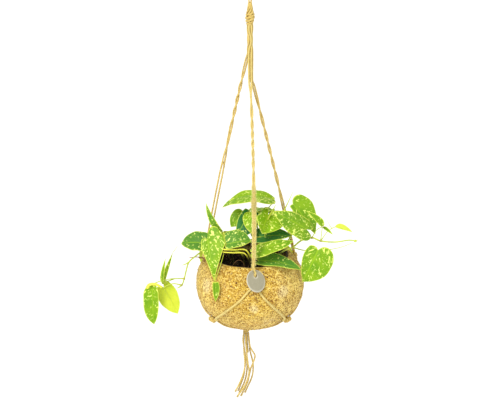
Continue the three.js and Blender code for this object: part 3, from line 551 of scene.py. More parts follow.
def make_specks():
    """Small irregular specks scattered over a surface, some of them left out."""
    tree, nodes, given, made = new_group(
        "specks",
        {"Vector": None, "Scale": 200.0, "Largest": 0.4, "Share": 0.5, "Ragged": 0.3},
        ["Mask"],
    )
    vector, scale = given["Vector"], given["Scale"]
    wobble = nodes.add("ShaderNodeTexNoise", {"Vector": vector, "Scale": scale, "Detail": 2.0})
    centred = nodes.vector("SUBTRACT", {0: wobble.outputs["Color"], 1: (0.5, 0.5, 0.5)})[0]
    ragged = nodes.math("DIVIDE", given["Ragged"], scale)
    moved = nodes.vector("SCALE", {0: centred, "Scale": ragged})[0]
    at = nodes.vector("ADD", {0: vector, 1: moved})[0]
    cells = nodes.add("ShaderNodeTexVoronoi", {"Vector": at, "Scale": scale}).outputs
    pick = nodes.add("ShaderNodeSeparateColor", {"Color": cells["Color"]}).outputs
    size = nodes.times(pick["Red"], given["Largest"])
    shown = nodes.math("LESS_THAN", pick["Green"], given["Share"])
    edge = nodes.between(nodes.less(size, cells["Distance"]), 0.0, 0.06)
    nodes.feed(made["Mask"], nodes.times(edge, shown))
    return tree


def make_patches():
    """Slow changes of tone over a surface, from a wide and a close noise."""
    tree, nodes, given, made = new_group(
        "patches", {"Vector": None, "Scale": 40.0, "Contrast": 1.0}, ["Value"])
    wide = nodes.noise(given["Vector"], given["Scale"], 1.0)
    close = nodes.noise(given["Vector"], nodes.times(given["Scale"], 4.3), 3.0, 0.6)
    both = nodes.plus(nodes.times(wide, 0.65), nodes.times(close, 0.35))
    spread = nodes.times(nodes.less(both, 0.5), given["Contrast"])
    nodes.feed(made["Value"], nodes.math("ADD", spread, 0.5, clamp=True))
    return tree


def make_pot_shade():
    """1 on what lies inside the pot's mouth, fading to 0 at its rim and above it: there shade is painted
    dark.
    """
    tree, nodes, given, made = new_group("pot_shade", {"Vector": None}, ["Shade"])
    parts = nodes.parts(given["Vector"])
    flat = nodes.add("ShaderNodeCombineXYZ", {"X": parts["X"], "Y": parts["Y"]}).outputs[0]
    reach = nodes.vector("LENGTH", {0: flat})["Value"]
    within = nodes.between(reach, MOUTH_REACH + 0.002, MOUTH_REACH - 0.001)
    above = nodes.between(parts["Z"], MOUTH_LOW, MOUTH_LOW + 0.01)
    below = nodes.between(parts["Z"], MOUTH_TOP, MOUTH_TOP - 0.014)
    nodes.feed(made["Shade"], nodes.times(within, nodes.times(above, below)))
    return tree


def make_leaf_pattern():
    """Silvery splashes, a fine bright margin and soft side veins, from the leaf's own maps."""
    tree, nodes, given, made = new_group(
        "leaf_pattern",
        {"Flat": None, "Leaf": None, "Edge": 5.0, "Marks": 0.6},
        ["Splash", "Margin", "Vein", "Rib"],
    )
    flat, parts = given["Flat"], nodes.parts(given["Leaf"])
    across = nodes.math("ABSOLUTE", nodes.less(nodes.times(parts["X"], 2.0), 1.0))
    turned = nodes.add("ShaderNodeMapping", {"Vector": flat, "Rotation": (0.0, 0.0, 0.8)}).outputs[0]
    drawn = nodes.add("ShaderNodeMapping", {"Vector": turned, "Scale": (1.0, 0.36, 1.0)}).outputs[0]
    dashes = nodes.group(SPECKS, Vector=drawn, Scale=56.0, Largest=0.62, Share=0.85, Ragged=1.6)["Mask"]
    drops = nodes.group(SPECKS, Vector=flat, Scale=64.0, Largest=0.45, Share=0.5, Ragged=1.5)["Mask"]
    limit = nodes.less(0.64, nodes.times(given["Marks"], 0.26))
    grown = nodes.between(nodes.noise(flat, 19.0, 1.0), limit, nodes.plus(limit, 0.05))
    off_rib = nodes.between(across, 0.06, 0.16)
    splash = nodes.times(nodes.times(nodes.math("MAXIMUM", dashes, drops), grown), off_rib)
    bent = nodes.less(nodes.times(parts["Y"], 9.0), nodes.times(across, 3.2))
    wave = nodes.math("SINE", nodes.times(bent, 2 * math.pi))
    nodes.feed(made["Splash"], splash)
    nodes.feed(made["Margin"], nodes.between(given["Edge"], 1.25, 0.6))
    nodes.feed(made["Vein"], nodes.times(nodes.between(wave, 0.86, 1.0), off_rib))
    nodes.feed(made["Rib"], nodes.between(across, 0.075, 0.02))
    return tree


def plain_floor():
    look = Skin("floor", 0.9)
    tone = look.patches(scale=0.7, contrast=0.5)
    look.feed(look.shader.inputs["Base Color"], look.mix(tone, (0.93, 0.93, 0.93), (0.97, 0.97, 0.97)))
    return look.made


def coir():
    """Pressed coconut fibre: gold to orange, pale spots, fine strokes and dark flecks, with shade painted
    nearly black inside its mouth.
    """
    look = Skin("coir", 0.92)
    height = look.parts(look.place)["Z"]
    patches = look.patches(scale=32.0, contrast=3.2)
    gold = look.mix(patches, (0.52, 0.305, 0.012), (0.8, 0.56, 0.055))
    near = look.between(look.away(WARM_MIDDLE), 0.075, 0.03)
    gold = look.mix(look.between(near, 0.0, 1.0, 0.3, 0.0), gold, (0.84, 0.68, 0.3))
    warm = look.between(look.noise(look.place, 26.0, 4.0, 0.65), 0.5, 0.64)
    warm = look.plus(look.times(warm, 0.6), look.times(near, 0.3))
    gold = look.mix(warm, gold, (0.46, 0.235, 0.008))
    gold = look.mix(look.between(height, *UNDER_RIM, 0.0, 0.42), gold, (0.44, 0.24, 0.01))
    ragged = look.noise(look.place, 60.0, 3.0, 0.6)
    pale = look.between(look.noise(look.place, 24.0, 3.0, 0.55), 0.56, 0.7)
    for middle, reach in PALE_SPOTS:
        edge = look.plus(look.away(middle), look.times(ragged, reach / 1000))
        pale = look.math("MAXIMUM", pale, look.between(edge, reach * 1.7 / 1000, reach * 0.9 / 1000))
    gold = look.mix(look.times(pale, 0.8), gold, (0.84, 0.71, 0.36))
    orange = look.times(look.between(look.noise(look.place, 38.0), 0.45, 0.62), 0.75)
    orange = look.times(look.plus(orange, 0.25), look.between(height, *LOW_BALL))
    gold = look.mix(orange, gold, (0.56, 0.24, 0.01))
    strokes = look.noise(look.place, 460.0, 3.0, 0.65, 1.2)
    gold = look.mix(look.between(strokes, 0.5, 0.64), gold, (0.84, 0.68, 0.22))
    gold = look.mix(look.between(strokes, 0.5, 0.41), gold, (0.22, 0.1, 0.01))
    flecks = look.group(SPECKS, Vector=look.place, Scale=320.0, Largest=0.52, Share=0.38,
                        Ragged=0.9)["Mask"]
    crowd = look.between(look.noise(look.place, 50.0), 0.42, 0.58, 0.2, 1.0)
    gold = look.mix(look.times(flecks, crowd), gold, (0.09, 0.035, 0.008))
    # Painted shade: the wall inside the pot's mouth goes nearly black.
    gold = look.mix(look.times(look.pot_shade(), 0.97), gold, (0.02, 0.011, 0.006))
    return look.finish(gold, strokes, roughness=(0.97, 0.82), depth=0.0006)


def coir_fibre():
    """Loose fibres on the ball: each has its own tone, from nearly black to straw."""
    look = Skin("coir_fibre", 0.8, Specular_IOR_Level=0.2)
    ramp = look.add("ShaderNodeValToRGB", {"Fac": look.attribute("tint")})
    stops = ramp.color_ramp.elements
    stops[0].color = (0.05, 0.02, 0.006, 1)
    stops[1].color = (0.86, 0.72, 0.34, 1)
    stops.new(0.25).color = (0.26, 0.11, 0.015, 1)
    stops.new(0.55).color = (0.56, 0.32, 0.04, 1)
    grain = look.noise(look.place, 900.0)
    brown = look.mix(look.between(grain, 0.3, 0.8, 0.0, 0.3), ramp.outputs["Color"], (0.5, 0.3, 0.08))
    return look.finish(brown, grain, roughness=(0.7, 0.95), depth=0.0001)


def earth():
    """Damp dark potting soil, painted nearly black as the shade it lies in, darker in patches; inside the
    pot's mouth its brown crumbs are painted dark as shade too.
    """
    look = Skin("earth", 0.9, Specular_IOR_Level=0.05)
    tone = look.patches(scale=160.0, contrast=2.0)
    # Painted shade: the ground's own colour is set nearly black, as the shade under the leaves.
    ground = look.mix(tone, (0.003, 0.0025, 0.002), (0.012, 0.008, 0.005))
    # Painted shade: crumbs inside the pot's mouth lose their brown.
    outside = look.less(1.0, look.times(look.pot_shade(), 0.9))
    brown = look.mix(look.times(look.attribute("tint"), outside), ground, (0.16, 0.07, 0.028))
    grain = look.noise(look.place, 900.0, 4.0, 0.7)
    return look.finish(brown, grain, roughness=(0.75, 1.0), depth=0.0006)


def root_skin():
    """Brown roots and dry sheaths, painted dark as shade inside the pot's mouth."""
    look = Skin("root_skin", 0.7, Specular_IOR_Level=0.15)
    grain = look.patches(scale=220.0, contrast=2.0)
    brown = look.mix(grain, (0.20, 0.085, 0.03), (0.46, 0.26, 0.10))
    # Painted shade: roots inside the pot's mouth go dark.
    brown = look.mix(look.times(look.pot_shade(), 0.6), brown, (0.02, 0.012, 0.006))
    rough = look.between(grain, 0.2, 0.8, 0.6, 0.9)
    return look.finish(brown, grain, roughness=rough, depth=0.0003)


def jute():
    """Twisted jute yarn: pale gold with streaks along its fibres, painted shade in the grooves between its
    plies, and painted light that makes the strands in front paler.
    """
    look = Skin("jute", 0.9, Sheen_Weight=0.2, Sheen_Roughness=0.5, Specular_IOR_Level=0.2)
    drawn = look.add("ShaderNodeMapping", {"Vector": look.uv("lay"), "Scale": (26.0, 22.0, 1.0)})
    streaks = look.noise(drawn.outputs["Vector"], 1.0, 3.0, 0.6)
    patches = look.patches(scale=90.0, contrast=2.0)
    gold = look.mix(patches, (0.66, 0.475, 0.11), (0.83, 0.665, 0.22))
    gold = look.mix(look.between(streaks, 0.52, 0.68), gold, (0.93, 0.84, 0.40))
    gold = look.mix(look.between(streaks, 0.48, 0.36), gold, (0.42, 0.24, 0.03))
    # Painted light: the tint makes the front leg, its net strands and its fluff paler, as lit from the
    # front.
    gold = look.mix(look.attribute("tint"), gold, (0.92, 0.84, 0.33))
    # Painted shade: darker between the plies and on the top knot's core, where the strands meet.
    gold = look.mix(look.times(look.attribute("groove"), 0.75), gold, (0.36, 0.20, 0.03))
    return look.finish(gold, streaks, roughness=(0.95, 0.75), depth=0.0002)


def card():
    """Bare grey card: faint fibres, slightly rubbed towards its pale cut edge."""
    look = Skin("card", 0.6)
    fibres = look.noise(look.place, 700.0, 3.0, 0.6, 0.8)
    tone = look.patches(scale=120.0, contrast=1.4)
    grey = look.mix(tone, (0.27, 0.25, 0.165), (0.325, 0.30, 0.205))
    grey = look.mix(look.between(fibres, 0.45, 0.8, 0.0, 0.3), grey, (0.50, 0.47, 0.36))
    grey = look.mix(look.times(look.attribute("tint"), 0.6), grey, (0.70, 0.68, 0.56))
    return look.finish(grey, fibres, roughness=(0.5, 0.72), depth=0.0001)


def leaf_pattern_on(look):
    return look.group(LEAF_PATTERN, Flat=look.uv("flat"), Leaf=look.uv("leaf"),
                      Edge=look.attribute("edge"), Marks=look.attribute("marks"))


def leaf_top():
    """The satin upper face: green with cream-lime splashes, painted dark green for leaves in shade, vivid
    green for lit ones and paler lime past full light.
    """
    look = Skin("leaf_top", 0.5, Specular_IOR_Level=0.12)
    pattern, tone = leaf_pattern_on(look), look.attribute("tone")
    patches = look.patches(scale=55.0, contrast=1.8)
    # Painted light and shade: each leaf's tone mixes a lit green and a shaded one.
    vivid = look.mix(patches, (0.10, 0.28, 0.003), (0.32, 0.48, 0.006))
    shaded = look.mix(patches, (0.012, 0.11, 0.028), (0.035, 0.20, 0.035))
    green = look.mix(tone, shaded, vivid)
    # Painted light: tone above 1.1 makes a leaf paler lime, as if lit more strongly.
    green = look.mix(look.between(tone, 1.1, 2.0), green, (0.66, 0.72, 0.09))
    green = look.mix(look.times(pattern["Vein"], 0.22), green, (0.30, 0.48, 0.02))
    green = look.mix(look.times(pattern["Rib"], 0.5), green, (0.34, 0.54, 0.02))
    green = look.mix(look.times(pattern["Splash"], 0.85), green, (0.80, 0.86, 0.2))
    green = look.mix(look.times(pattern["Margin"], 0.7), green, (0.70, 0.78, 0.1))
    satin = look.mix(pattern["Splash"], (0.42, 0.42, 0.42), (0.3, 0.3, 0.3))
    relief = look.less(look.times(look.noise(look.place, 700.0), 0.3), pattern["Vein"])
    return look.finish(green, relief, roughness=satin, depth=0.0002)


def leaf_under():
    """The paler, matte underside with its net of veins, painted dim for leaves in shade by their tone."""
    look = Skin("leaf_under", 0.6, Specular_IOR_Level=0.15)
    pattern = leaf_pattern_on(look)
    patches = look.patches(scale=50.0, contrast=1.6)
    pale = look.mix(patches, (0.36, 0.50, 0.02), (0.62, 0.66, 0.045))
    dim = look.mix(patches, (0.10, 0.26, 0.04), (0.16, 0.34, 0.05))
    # Painted light and shade: the tone mixes a dim and a pale underside.
    green = look.mix(look.attribute("tone"), dim, pale)
    green = look.mix(look.times(pattern["Vein"], 0.3), green, (0.66, 0.78, 0.16))
    green = look.mix(look.times(pattern["Margin"], 0.6), green, (0.72, 0.82, 0.14))
    fine = look.noise(look.place, 600.0, 3.0)
    relief = look.plus(pattern["Vein"], look.times(fine, 0.3))
    return look.finish(green, fine, roughness=(0.52, 0.7), depth=0.0002, relief=relief)


def stem_skin():
    """Petioles and stems: yellow-green, brown at the joints, yellow where the tint is below 0, and painted
    dark as shade inside the pot's mouth.
    """
    look = Skin("stem_skin", 0.45)
    tint = look.attribute("tint")
    patches = look.patches(scale=90.0, contrast=2.0)
    green = look.mix(patches, (0.32, 0.44, 0.015), (0.60, 0.66, 0.05))
    green = look.mix(tint, green, (0.30, 0.19, 0.05))
    green = look.mix(look.between(tint, -0.3, -1.0, 0.0, 0.85), green, (0.86, 0.82, 0.07))
    # Painted shade: stems inside the pot's mouth go nearly black.
    green = look.mix(look.times(look.pot_shade(), 0.95), green, (0.02, 0.016, 0.006))
    grain = look.noise(look.place, 500.0, 3.0)
    return look.finish(green, grain, roughness=(0.35, 0.6), depth=0.0001)


# Lines and tubes


def smooth_line(places, spacing=YARN_STEP):
    """Points an equal spacing apart on a smooth curve through given places."""
    spots = [Vector(p) for p in places]
    spots = [2 * spots[0] - spots[1], *spots, 2 * spots[-1] - spots[-2]]
    fine = []
    for p0, p1, p2, p3 in zip(spots, spots[1:], spots[2:], spots[3:]):
        a, b, c = (max((q - p).length, 1e-4) ** 0.5 for p, q in ((p0, p1), (p1, p2), (p2, p3)))
        start = ((p1 - p0) / a - (p2 - p0) / (a + b) + (p2 - p1) / b) * b
        end = ((p2 - p1) / b - (p3 - p1) / (b + c) + (p3 - p2) / c) * b
        square = 3 * (p2 - p1) - 2 * start - end
        cube = 2 * (p1 - p2) + start + end
        steps = max(4, math.ceil(2 * (p2 - p1).length / spacing))
        for i in range(steps):
            t = i / steps
            fine.append(p1 + start * t + square * t**2 + cube * t**3)
    fine.append(spots[-2])
    return evenly(fine, spacing)


def evenly(points, spacing):
    """The same line with its points an equal distance apart."""
    far = [0.0]
    for a, b in zip(points, points[1:]):
        far.append(far[-1] + (b - a).length)
    count = max(2, round(far[-1] / spacing))
    made, i = [], 0
    for n in range(count + 1):
        want = far[-1] * n / count
        while i < len(points) - 2 and far[i + 1] < want:
            i += 1
        share = (want - far[i]) / max(far[i + 1] - far[i], 1e-9)
        made.append(points[i].lerp(points[i + 1], min(share, 1.0)))
    return made


def length_of(line):
    return sum((b - a).length for a, b in zip(line, line[1:]))


def sides_of(line):
    """The way along, a side and a way up at each point of a line, with no twist between them."""
    made, side = [], None
    for i in range(len(line)):
        along = (line[min(i + 1, len(line) - 1)] - line[max(i - 1, 0)]).normalized()
        if side is None:
            side = along.orthogonal()
        side = (side - along * side.dot(along)).normalized()
        made.append((along, side, along.cross(side)))
    return made


def round_from(side, up, angle):
    return side * math.cos(angle) + up * math.sin(angle)


def new_shape():
    """An empty mesh with the maps and attributes that the materials read."""
    bm = bmesh.new()
    for name in ("leaf", "flat", "lay"):
        bm.loops.layers.uv.new(name)
    for name in ("tint", "tone", "marks", "edge", "groove"):
        bm.verts.layers.float.new(name)
    return bm


def add_tubes(bm, lines, reach, sides, material=0, tint=0.0, turns_per_mm=0.0, groove=None):
    """Closed tubes along lines, from one grid that is rolled round them and cut between them.

    reach(line number, share along, share around) is the distance from the line to the surface, and
    tint its tone, a number or tint(line number, share along). turns_per_mm twists the surface as
    yarn is twisted, and groove(share around) paints shade on it between the plies.
    """
    rows = [(which, i) for which, line in enumerate(lines) for i in range(len(line))]
    sheet = bmesh.ops.create_grid(bm, x_segments=sides, y_segments=len(rows) - 1, size=0.5)["verts"]
    ways = [sides_of(line) for line in lines]
    lay = bm.loops.layers.uv["lay"]
    tints, grooves = bm.verts.layers.float["tint"], bm.verts.layers.float["groove"]
    spot = {}
    for number, vert in enumerate(sheet):
        row, turn = divmod(number, sides + 1)
        which, i = rows[row]
        line = lines[which]
        share = i / (len(line) - 1)
        far = (line[1] - line[0]).length * i
        _, side, up = ways[which][i]
        out = round_from(side, up, 2 * math.pi * (turn / sides + far * turns_per_mm))
        vert.co = line[i] + out * reach(which, share, turn / sides % 1)
        vert[tints] = tint(which, share) if callable(tint) else tint
        vert[grooves] = groove(turn / sides % 1) if groove else 0.0
        spot[vert] = (which, turn, far)
    between_lines = []
    for face in {face for vert in sheet for face in vert.link_faces}:
        face.material_index = material
        if len({spot[vert][0] for vert in face.verts}) > 1:
            between_lines.append(face)
            continue
        for loop in face.loops:
            _, turn, far = spot[loop.vert]
            loop[lay].uv = (turn / sides, far / 100)
    seam = [vert for vert, (_, turn, _) in spot.items() if turn in (0, sides)]
    if between_lines:
        bmesh.ops.delete(bm, geom=between_lines, context="FACES_ONLY")
    bmesh.ops.remove_doubles(bm, verts=seam, dist=1e-4)
    bmesh.ops.delete(bm, geom=[edge for edge in bm.edges if edge.is_wire], context="EDGES")
    open_edges = [edge for edge in bm.edges if edge.is_boundary]
    filled = bmesh.ops.holes_fill(bm, edges=open_edges, sides=0)["faces"]
    for face in filled:
        face.material_index = material
    bmesh.ops.recalc_face_normals(bm, faces=filled)


def new_piece(bm, name, materials, slot, *nodes):
    """Puts a finished shape in its place as an object that rides on the planter."""
    bmesh.ops.recalc_face_normals(bm, faces=bm.faces)
    bm.transform(TO_FRAME)
    mesh = bpy.data.meshes.new(name)
    bm.to_mesh(mesh)
    bm.free()
    for material in materials:
        mesh.materials.append(material)
    mesh.polygons.foreach_set("use_smooth", [True] * len(mesh.polygons))
    made = bpy.data.objects.new(name, mesh)
    bpy.context.scene.collection.objects.link(made)
    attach(made, "root")
    if nodes:
        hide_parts(*nodes)
    return made


def jute_piece(bm, name, *nodes):
    return new_piece(bm, name, [JUTE], "twine", *nodes)


# Twine


def outward(azimuth):
    a = math.radians(azimuth)
    return Vector((math.sin(a), -math.cos(a), 0))


def sideways(azimuth):
    a = math.radians(azimuth)
    return Vector((math.cos(a), math.sin(a), 0))


def on_ball(azimuth, tilt, proud):
    """The point that stands proud of the ball by a distance, at a tilt above its middle."""
    out, up = outward(azimuth) * math.cos(tilt), math.sin(tilt)
    point = out * BALL_RADIUS + UP * (BALL_HALF_HEIGHT * up)
    normal = out / BALL_RADIUS + UP * (up / BALL_HALF_HEIGHT)
    return point + normal.normalized() * proud


def tilt_at(height):
    return math.asin(height / BALL_HALF_HEIGHT)


def smooth_step(value, low=0.0, high=1.0):
    share = min(max((value - low) / (high - low), 0.0), 1.0)
    return share * share * (3 - 2 * share)


def mixed(a, b, share):
    return a + (b - a) * share


def station(stations, share, column):
    i = 1
    while i < len(stations) - 1 and stations[i][0] < share:
        i += 1
    low, high = stations[i - 1], stations[i]
    return mixed(low[column], high[column], smooth_step(share, low[0], high[0]))


def upper_knot_middle(leg):
    return on_ball(leg["azimuth"], tilt_at(UPPER_KNOT["height"]), UPPER_KNOT["radius"] + GAP)


def upper_knot_axis(leg):
    return outward(leg["azimuth"]) * -math.sin(UPPER_KNOT_LEAN) + UP * math.cos(UPPER_KNOT_LEAN)


def leg_end(leg):
    return upper_knot_middle(leg) + upper_knot_axis(leg) * (UPPER_KNOT["length"] / 2 + GAP)


def leg_middle(leg, share):
    start = outward(leg["azimuth"]) * (BUNDLE_RADIUS * math.cos(RING_ANGLE)) + UP * leg["split"]
    middle = start.lerp(leg_end(leg), share)
    middle.x += leg["bow"] * 4 * share * (1 - share)
    return middle


def leg_run(leg):
    return (leg_end(leg) - leg_middle(leg, 0)).normalized()


def leg_places(leg, side):
    """The places that a leg's strand goes through, from inside the top knot to its upper knot."""
    a = math.radians(leg["azimuth"]) + side * RING_ANGLE
    inside = Vector((math.sin(a), -math.cos(a), 0)) * BUNDLE_RADIUS * 0.8
    places = [inside + UP * (TOP_KNOT_LOW + 3)]
    for height in (TOP_KNOT_LOW - GAP, *BUNDLE_HEIGHTS, leg["split"]):
        down = smooth_step(TOP_KNOT_LOW - height, 0, 40)
        angle = a + BUNDLE_TWIST * math.sin(math.pi * down) ** 2
        reach = BUNDLE_RADIUS * (1 - 0.12 * math.sin(math.pi * down))
        places.append(Vector((reach * math.sin(angle), -reach * math.cos(angle), height)))
    across = sideways(leg["azimuth"])
    upright = leg_run(leg).cross(across)
    for i in range(1, LEG_STEPS + 1):
        share = i / LEG_STEPS
        half = side * station(leg["lay"], share, 1)
        turn = 2 * math.pi * station(leg["lay"], share, 2)
        place = leg_middle(leg, share) + across * half * math.cos(turn)
        places.append(place + upright * half * math.sin(turn))
    return places


def tag_directions():
    across = Vector(TAG["across"]).normalized()
    face = across.cross(Vector(TAG["up"])).normalized()
    return across, face.cross(across), face


def on_tag(across, up, proud):
    """A point of the tag, across and up its face from the middle, and proud of it."""
    directions = tag_directions()
    return Vector(TAG["middle"]) + directions[0] * across + directions[1] * up + directions[2] * proud


def tag_strand_places(leg, side):
    """Over the tag's top edge, through its hole and on to the knot behind it."""
    clear = TAG["thickness"] / 2 + TWINE / 2 + GAP
    across, up = TAG["hole"]
    places = [place for place in leg_places(leg, side) if place.z > TAG["strand_leaves"]]
    for x, y, proud in (
        (across - 0.6, up + 11, clear + 0.4), (across - 0.3, up + 6, clear),
        (across, up + 2.4, clear - 0.1), (across, up, 0), (across, up - 2.8, -clear - 0.4),
        (across - 1, up - 5, -clear - 1),
    ):
        places.append(on_tag(x, y, proud))
    return places


def lower_knot_middle(azimuth):
    return on_ball(azimuth, tilt_at(LOWER_KNOT["height"]), LOWER_KNOT["radius"] + GAP - LOWER_KNOT_SUNK)


def turn_from(leg, azimuth):
    """The shorter way round from a leg, in degrees."""
    return (azimuth - leg["azimuth"] + 180) % 360 - 180


def net_places(leg, azimuth, side):
    """Over the ball, from the foot of an upper knot into one end of a lower knot."""
    foot = upper_knot_middle(leg) + sideways(leg["azimuth"]) * side * STRAND_OFFSET
    places = [foot, foot - upper_knot_axis(leg) * (UPPER_KNOT["length"] / 2 + KNOT_CLEAR)]
    to = leg["azimuth"] + turn_from(leg, azimuth) - side * NET_SHORT
    for share in NET_SHARES:
        tilt = mixed(tilt_at(UPPER_KNOT["height"]), tilt_at(LOWER_KNOT["height"]), share)
        turn = mixed(leg["azimuth"], to, share ** leg["net"]["bend"])
        place = on_ball(turn, tilt, TWINE / 2 + leg["net"]["proud"])
        places.append(place + sideways(turn) * side * STRAND_OFFSET * (1 - share))
    middle, along = lower_knot_middle(azimuth), sideways(azimuth)
    inwards = on_ball(azimuth, tilt_at(LOWER_KNOT["height"]), 0) - middle
    places.append(middle + inwards - along * side * (LOWER_KNOT["length"] / 2 + KNOT_CLEAR))
    places.append(middle - along * side * (LOWER_KNOT["length"] / 2 - 3))
    return places


def under_places(azimuth, side):
    """Under the ball, from the side of a lower knot to the side of the bottom knot."""
    shift = sideways(azimuth) * side * STRAND_OFFSET
    places = [on_ball(azimuth, tilt_at(LOWER_KNOT["height"]), 2.0) + shift]
    for share in UNDER_SHARES:
        tilt = mixed(tilt_at(LOWER_KNOT["height"]), -math.pi / 2, share)
        place = on_ball(azimuth, tilt, TWINE / 2 + SUNK_IN_FELT) + shift
        place.x += BOTTOM_KNOT["x"] * share**2
        places.append(place)
    foot = Vector((BOTTOM_KNOT["x"], 0, -BALL_HALF_HEIGHT - TWINE / 2 - 1)) + shift
    places.append(foot + outward(azimuth) * (BOTTOM_KNOT["radius"] + GAP + 0.2))
    places.append(foot + outward(azimuth) * (BOTTOM_KNOT["radius"] - 2.5) - UP)
    return places


def yarn_reach(radius, seed):
    """The surface of a yarn of twisted plies, a little uneven along its length."""
    def reach(which, share, around):
        lobe = 1 - PLY_DEPTH + PLY_DEPTH * math.sin(math.pi * (around * PLIES % 1))
        uneven = 1 + 0.07 * noise.noise(Vector((share * 40, which * 7.3, seed)))
        return radius * lobe * uneven
    return reach


# Painted shade between a yarn's plies: 1 in the groove, 0 on the crest of a ply.
def groove_shade(around):
    return 1 - math.sin(math.pi * (around * PLIES % 1)) ** 0.7


def add_yarn(bm, lines, radius=TWINE / 2, seed=0.0, pale=0.0):
    add_tubes(bm, lines, yarn_reach(radius, seed), sides=12, tint=pale,
              turns_per_mm=1 / YARN_TURN, groove=groove_shade)


def hair_lines(line, radius, count, longest, draw):
    """Short curved hairs that stand off a yarn's surface."""
    ways = sides_of(line)
    hairs = []
    for _ in range(count):
        i = draw.randrange(len(line) - 1)
        along, side, up = ways[i]
        out = round_from(side, up, draw.uniform(0, 2 * math.pi))
        lean = along * draw.choice((-1, 1)) * draw.uniform(0.4, 1.4)
        turn = out.cross(along) * draw.uniform(-0.8, 0.8)
        size = longest * draw.uniform(0.35, 1) ** 1.5
        foot = line[i] + out * radius * 0.7
        hairs.append([foot + (out * s + lean * s + turn * s * s) * size * 0.55 for s in HAIR_SHARES])
    return hairs


def hair_reach(thick):
    return lambda which, share, around: thick * (1 - 0.75 * share)


def add_hairs(bm, line, draw, radius=TWINE / 2, per_mm=1.2, longest=HAIR_LONGEST, thick=0.07, pale=0.0):
    count = max(1, round(length_of(line) * per_mm))
    add_tubes(bm, hair_lines(line, radius, count, longest, draw), hair_reach(thick), sides=3,
              tint=pale)


def strand(node, places, draw, radius=TWINE / 2, pale=0.0, fuzz=()):
    """One strand of twine with its loose hairs. fuzz adds more of them between two heights."""
    bm = new_shape()
    line = smooth_line(places)
    add_yarn(bm, [line], radius, draw.random() * 50, pale)
    add_hairs(bm, line, draw, radius, per_mm=1.4, pale=pale)
    for low, high, per_mm, longest in fuzz:
        part = [point for point in line if low < point.z < high]
        add_hairs(bm, part, draw, radius, per_mm, longest, thick=0.11, pale=pale)
    jute_piece(bm, node + "_twisted", node)


def coil_line(middle, axis, radius, length, wraps, phase=0.0, swell=0.0):
    """A strand wound round an axis, with both its ends turned in."""
    axis = axis.normalized()
    side = axis.orthogonal().normalized()
    up = axis.cross(side)
    places = []
    steps = round(wraps * 14)
    for i in range(steps + 1):
        share = i / steps
        tucked = min(1.0, 8 * share, 8 * (1 - share))
        reach = radius * (0.45 + 0.55 * tucked) * (1 + swell * math.sin(math.pi * share))
        height = (share - 0.5) * length
        out = round_from(side, up, 2 * math.pi * wraps * share + phase)
        places.append(middle + axis * height + out * reach)
    return evenly(places, COIL_STEP)


def small_knot(node, middle, axis, size, draw, phase=0.0):
    """A tied knot: wraps side by side round its core, with one turn laid across them."""
    bm = new_shape()
    radius, length, wraps = size["radius"], size["length"], size["wraps"]
    axis = axis.normalized()
    ring = radius - TWINE / 2
    wound = coil_line(middle, axis, ring, length - TWINE * 0.8, wraps - 0.2, phase, swell=0.06)
    core = smooth_line([middle - axis * (length / 2 - 1), middle, middle + axis * (length / 2 - 1)])
    lean = (axis + axis.orthogonal().normalized() * 0.75).normalized()
    across = coil_line(middle, lean, ring * 1.02, length * 0.25, wraps=1.1, phase=phase + 1.3,
                       swell=0.05)
    add_yarn(bm, [wound, across], seed=draw.random() * 50)
    add_yarn(bm, [core], ring * 0.95, draw.random() * 50)
    for line in (wound, across):
        add_hairs(bm, line, draw)
    jute_piece(bm, node + "_tied", node)


def top_knot(draw):
    """The big knot: strands wound up to the right, with turns laid over their lower half."""
    height = TOP_KNOT_HIGH - TOP_KNOT_LOW

    def knot_line(low, high, turns, start, sunk, rise):
        """A line round the knot between two shares of its height, rising to the right in front."""
        steps = round(abs(turns) * 18) + 8
        places = []
        for i in range(steps + 1):
            share = mixed(low, high, i / steps)
            reach = station(TOP_KNOT_WIDTHS, share, 1) - sunk
            angle = 2 * math.pi * (start + turns * i / steps)
            x, y = reach * math.cos(angle), reach * math.sin(angle)
            places.append((x, y, TOP_KNOT_LOW + height * share + rise * x))
        return smooth_line(places)

    bm = new_shape()
    over = [knot_line(0.1, 0.56, turns=3.6, start=0.3, sunk=1.3, rise=0.3)]
    wound = [knot_line(0.0, 1.0, turns=0.9, start=k / 6, sunk=1.9, rise=0.0) for k in range(6)]
    add_yarn(bm, over, radius=1.6, seed=9.0)
    add_yarn(bm, wound, radius=1.35, seed=3.0)
    core = smooth_line([UP * z for z in (TOP_KNOT_LOW + 1, TOP_KNOT_LOW + 17, TOP_KNOT_HIGH - 2)], 1.2)

    def core_reach(which, share, around):
        return station(TOP_KNOT_WIDTHS, share, 1) - TOP_KNOT_CORE_SUNK

    # The core is painted dark all over, as shade between the wound strands.
    add_tubes(bm, [core], core_reach, sides=12, groove=lambda around: 1.0)
    for line in over + wound:
        add_hairs(bm, line, draw, radius=1.4, per_mm=0.9)
    jute_piece(bm, "top_knot_tied", "top_knot")


def hanging_loop(draw):
    """Out of the top knot, open into an eye and back into the knot."""
    foot = TOP_KNOT_HIGH + GAP
    top = LOOP_TOP + TWINE / 2
    right = [(1.6, foot - 4), (1.6, foot + 6), (2.1, foot + 12), (5.6, foot + 22), (7.4, top - 14),
             (6.2, top - 4.5), (3, top - 0.8)]
    left = [(-x, z) for x, z in reversed(right)]
    strand("hanging_loop", [(x, 0, z) for x, z in [*right, (0, top), *left]], draw)


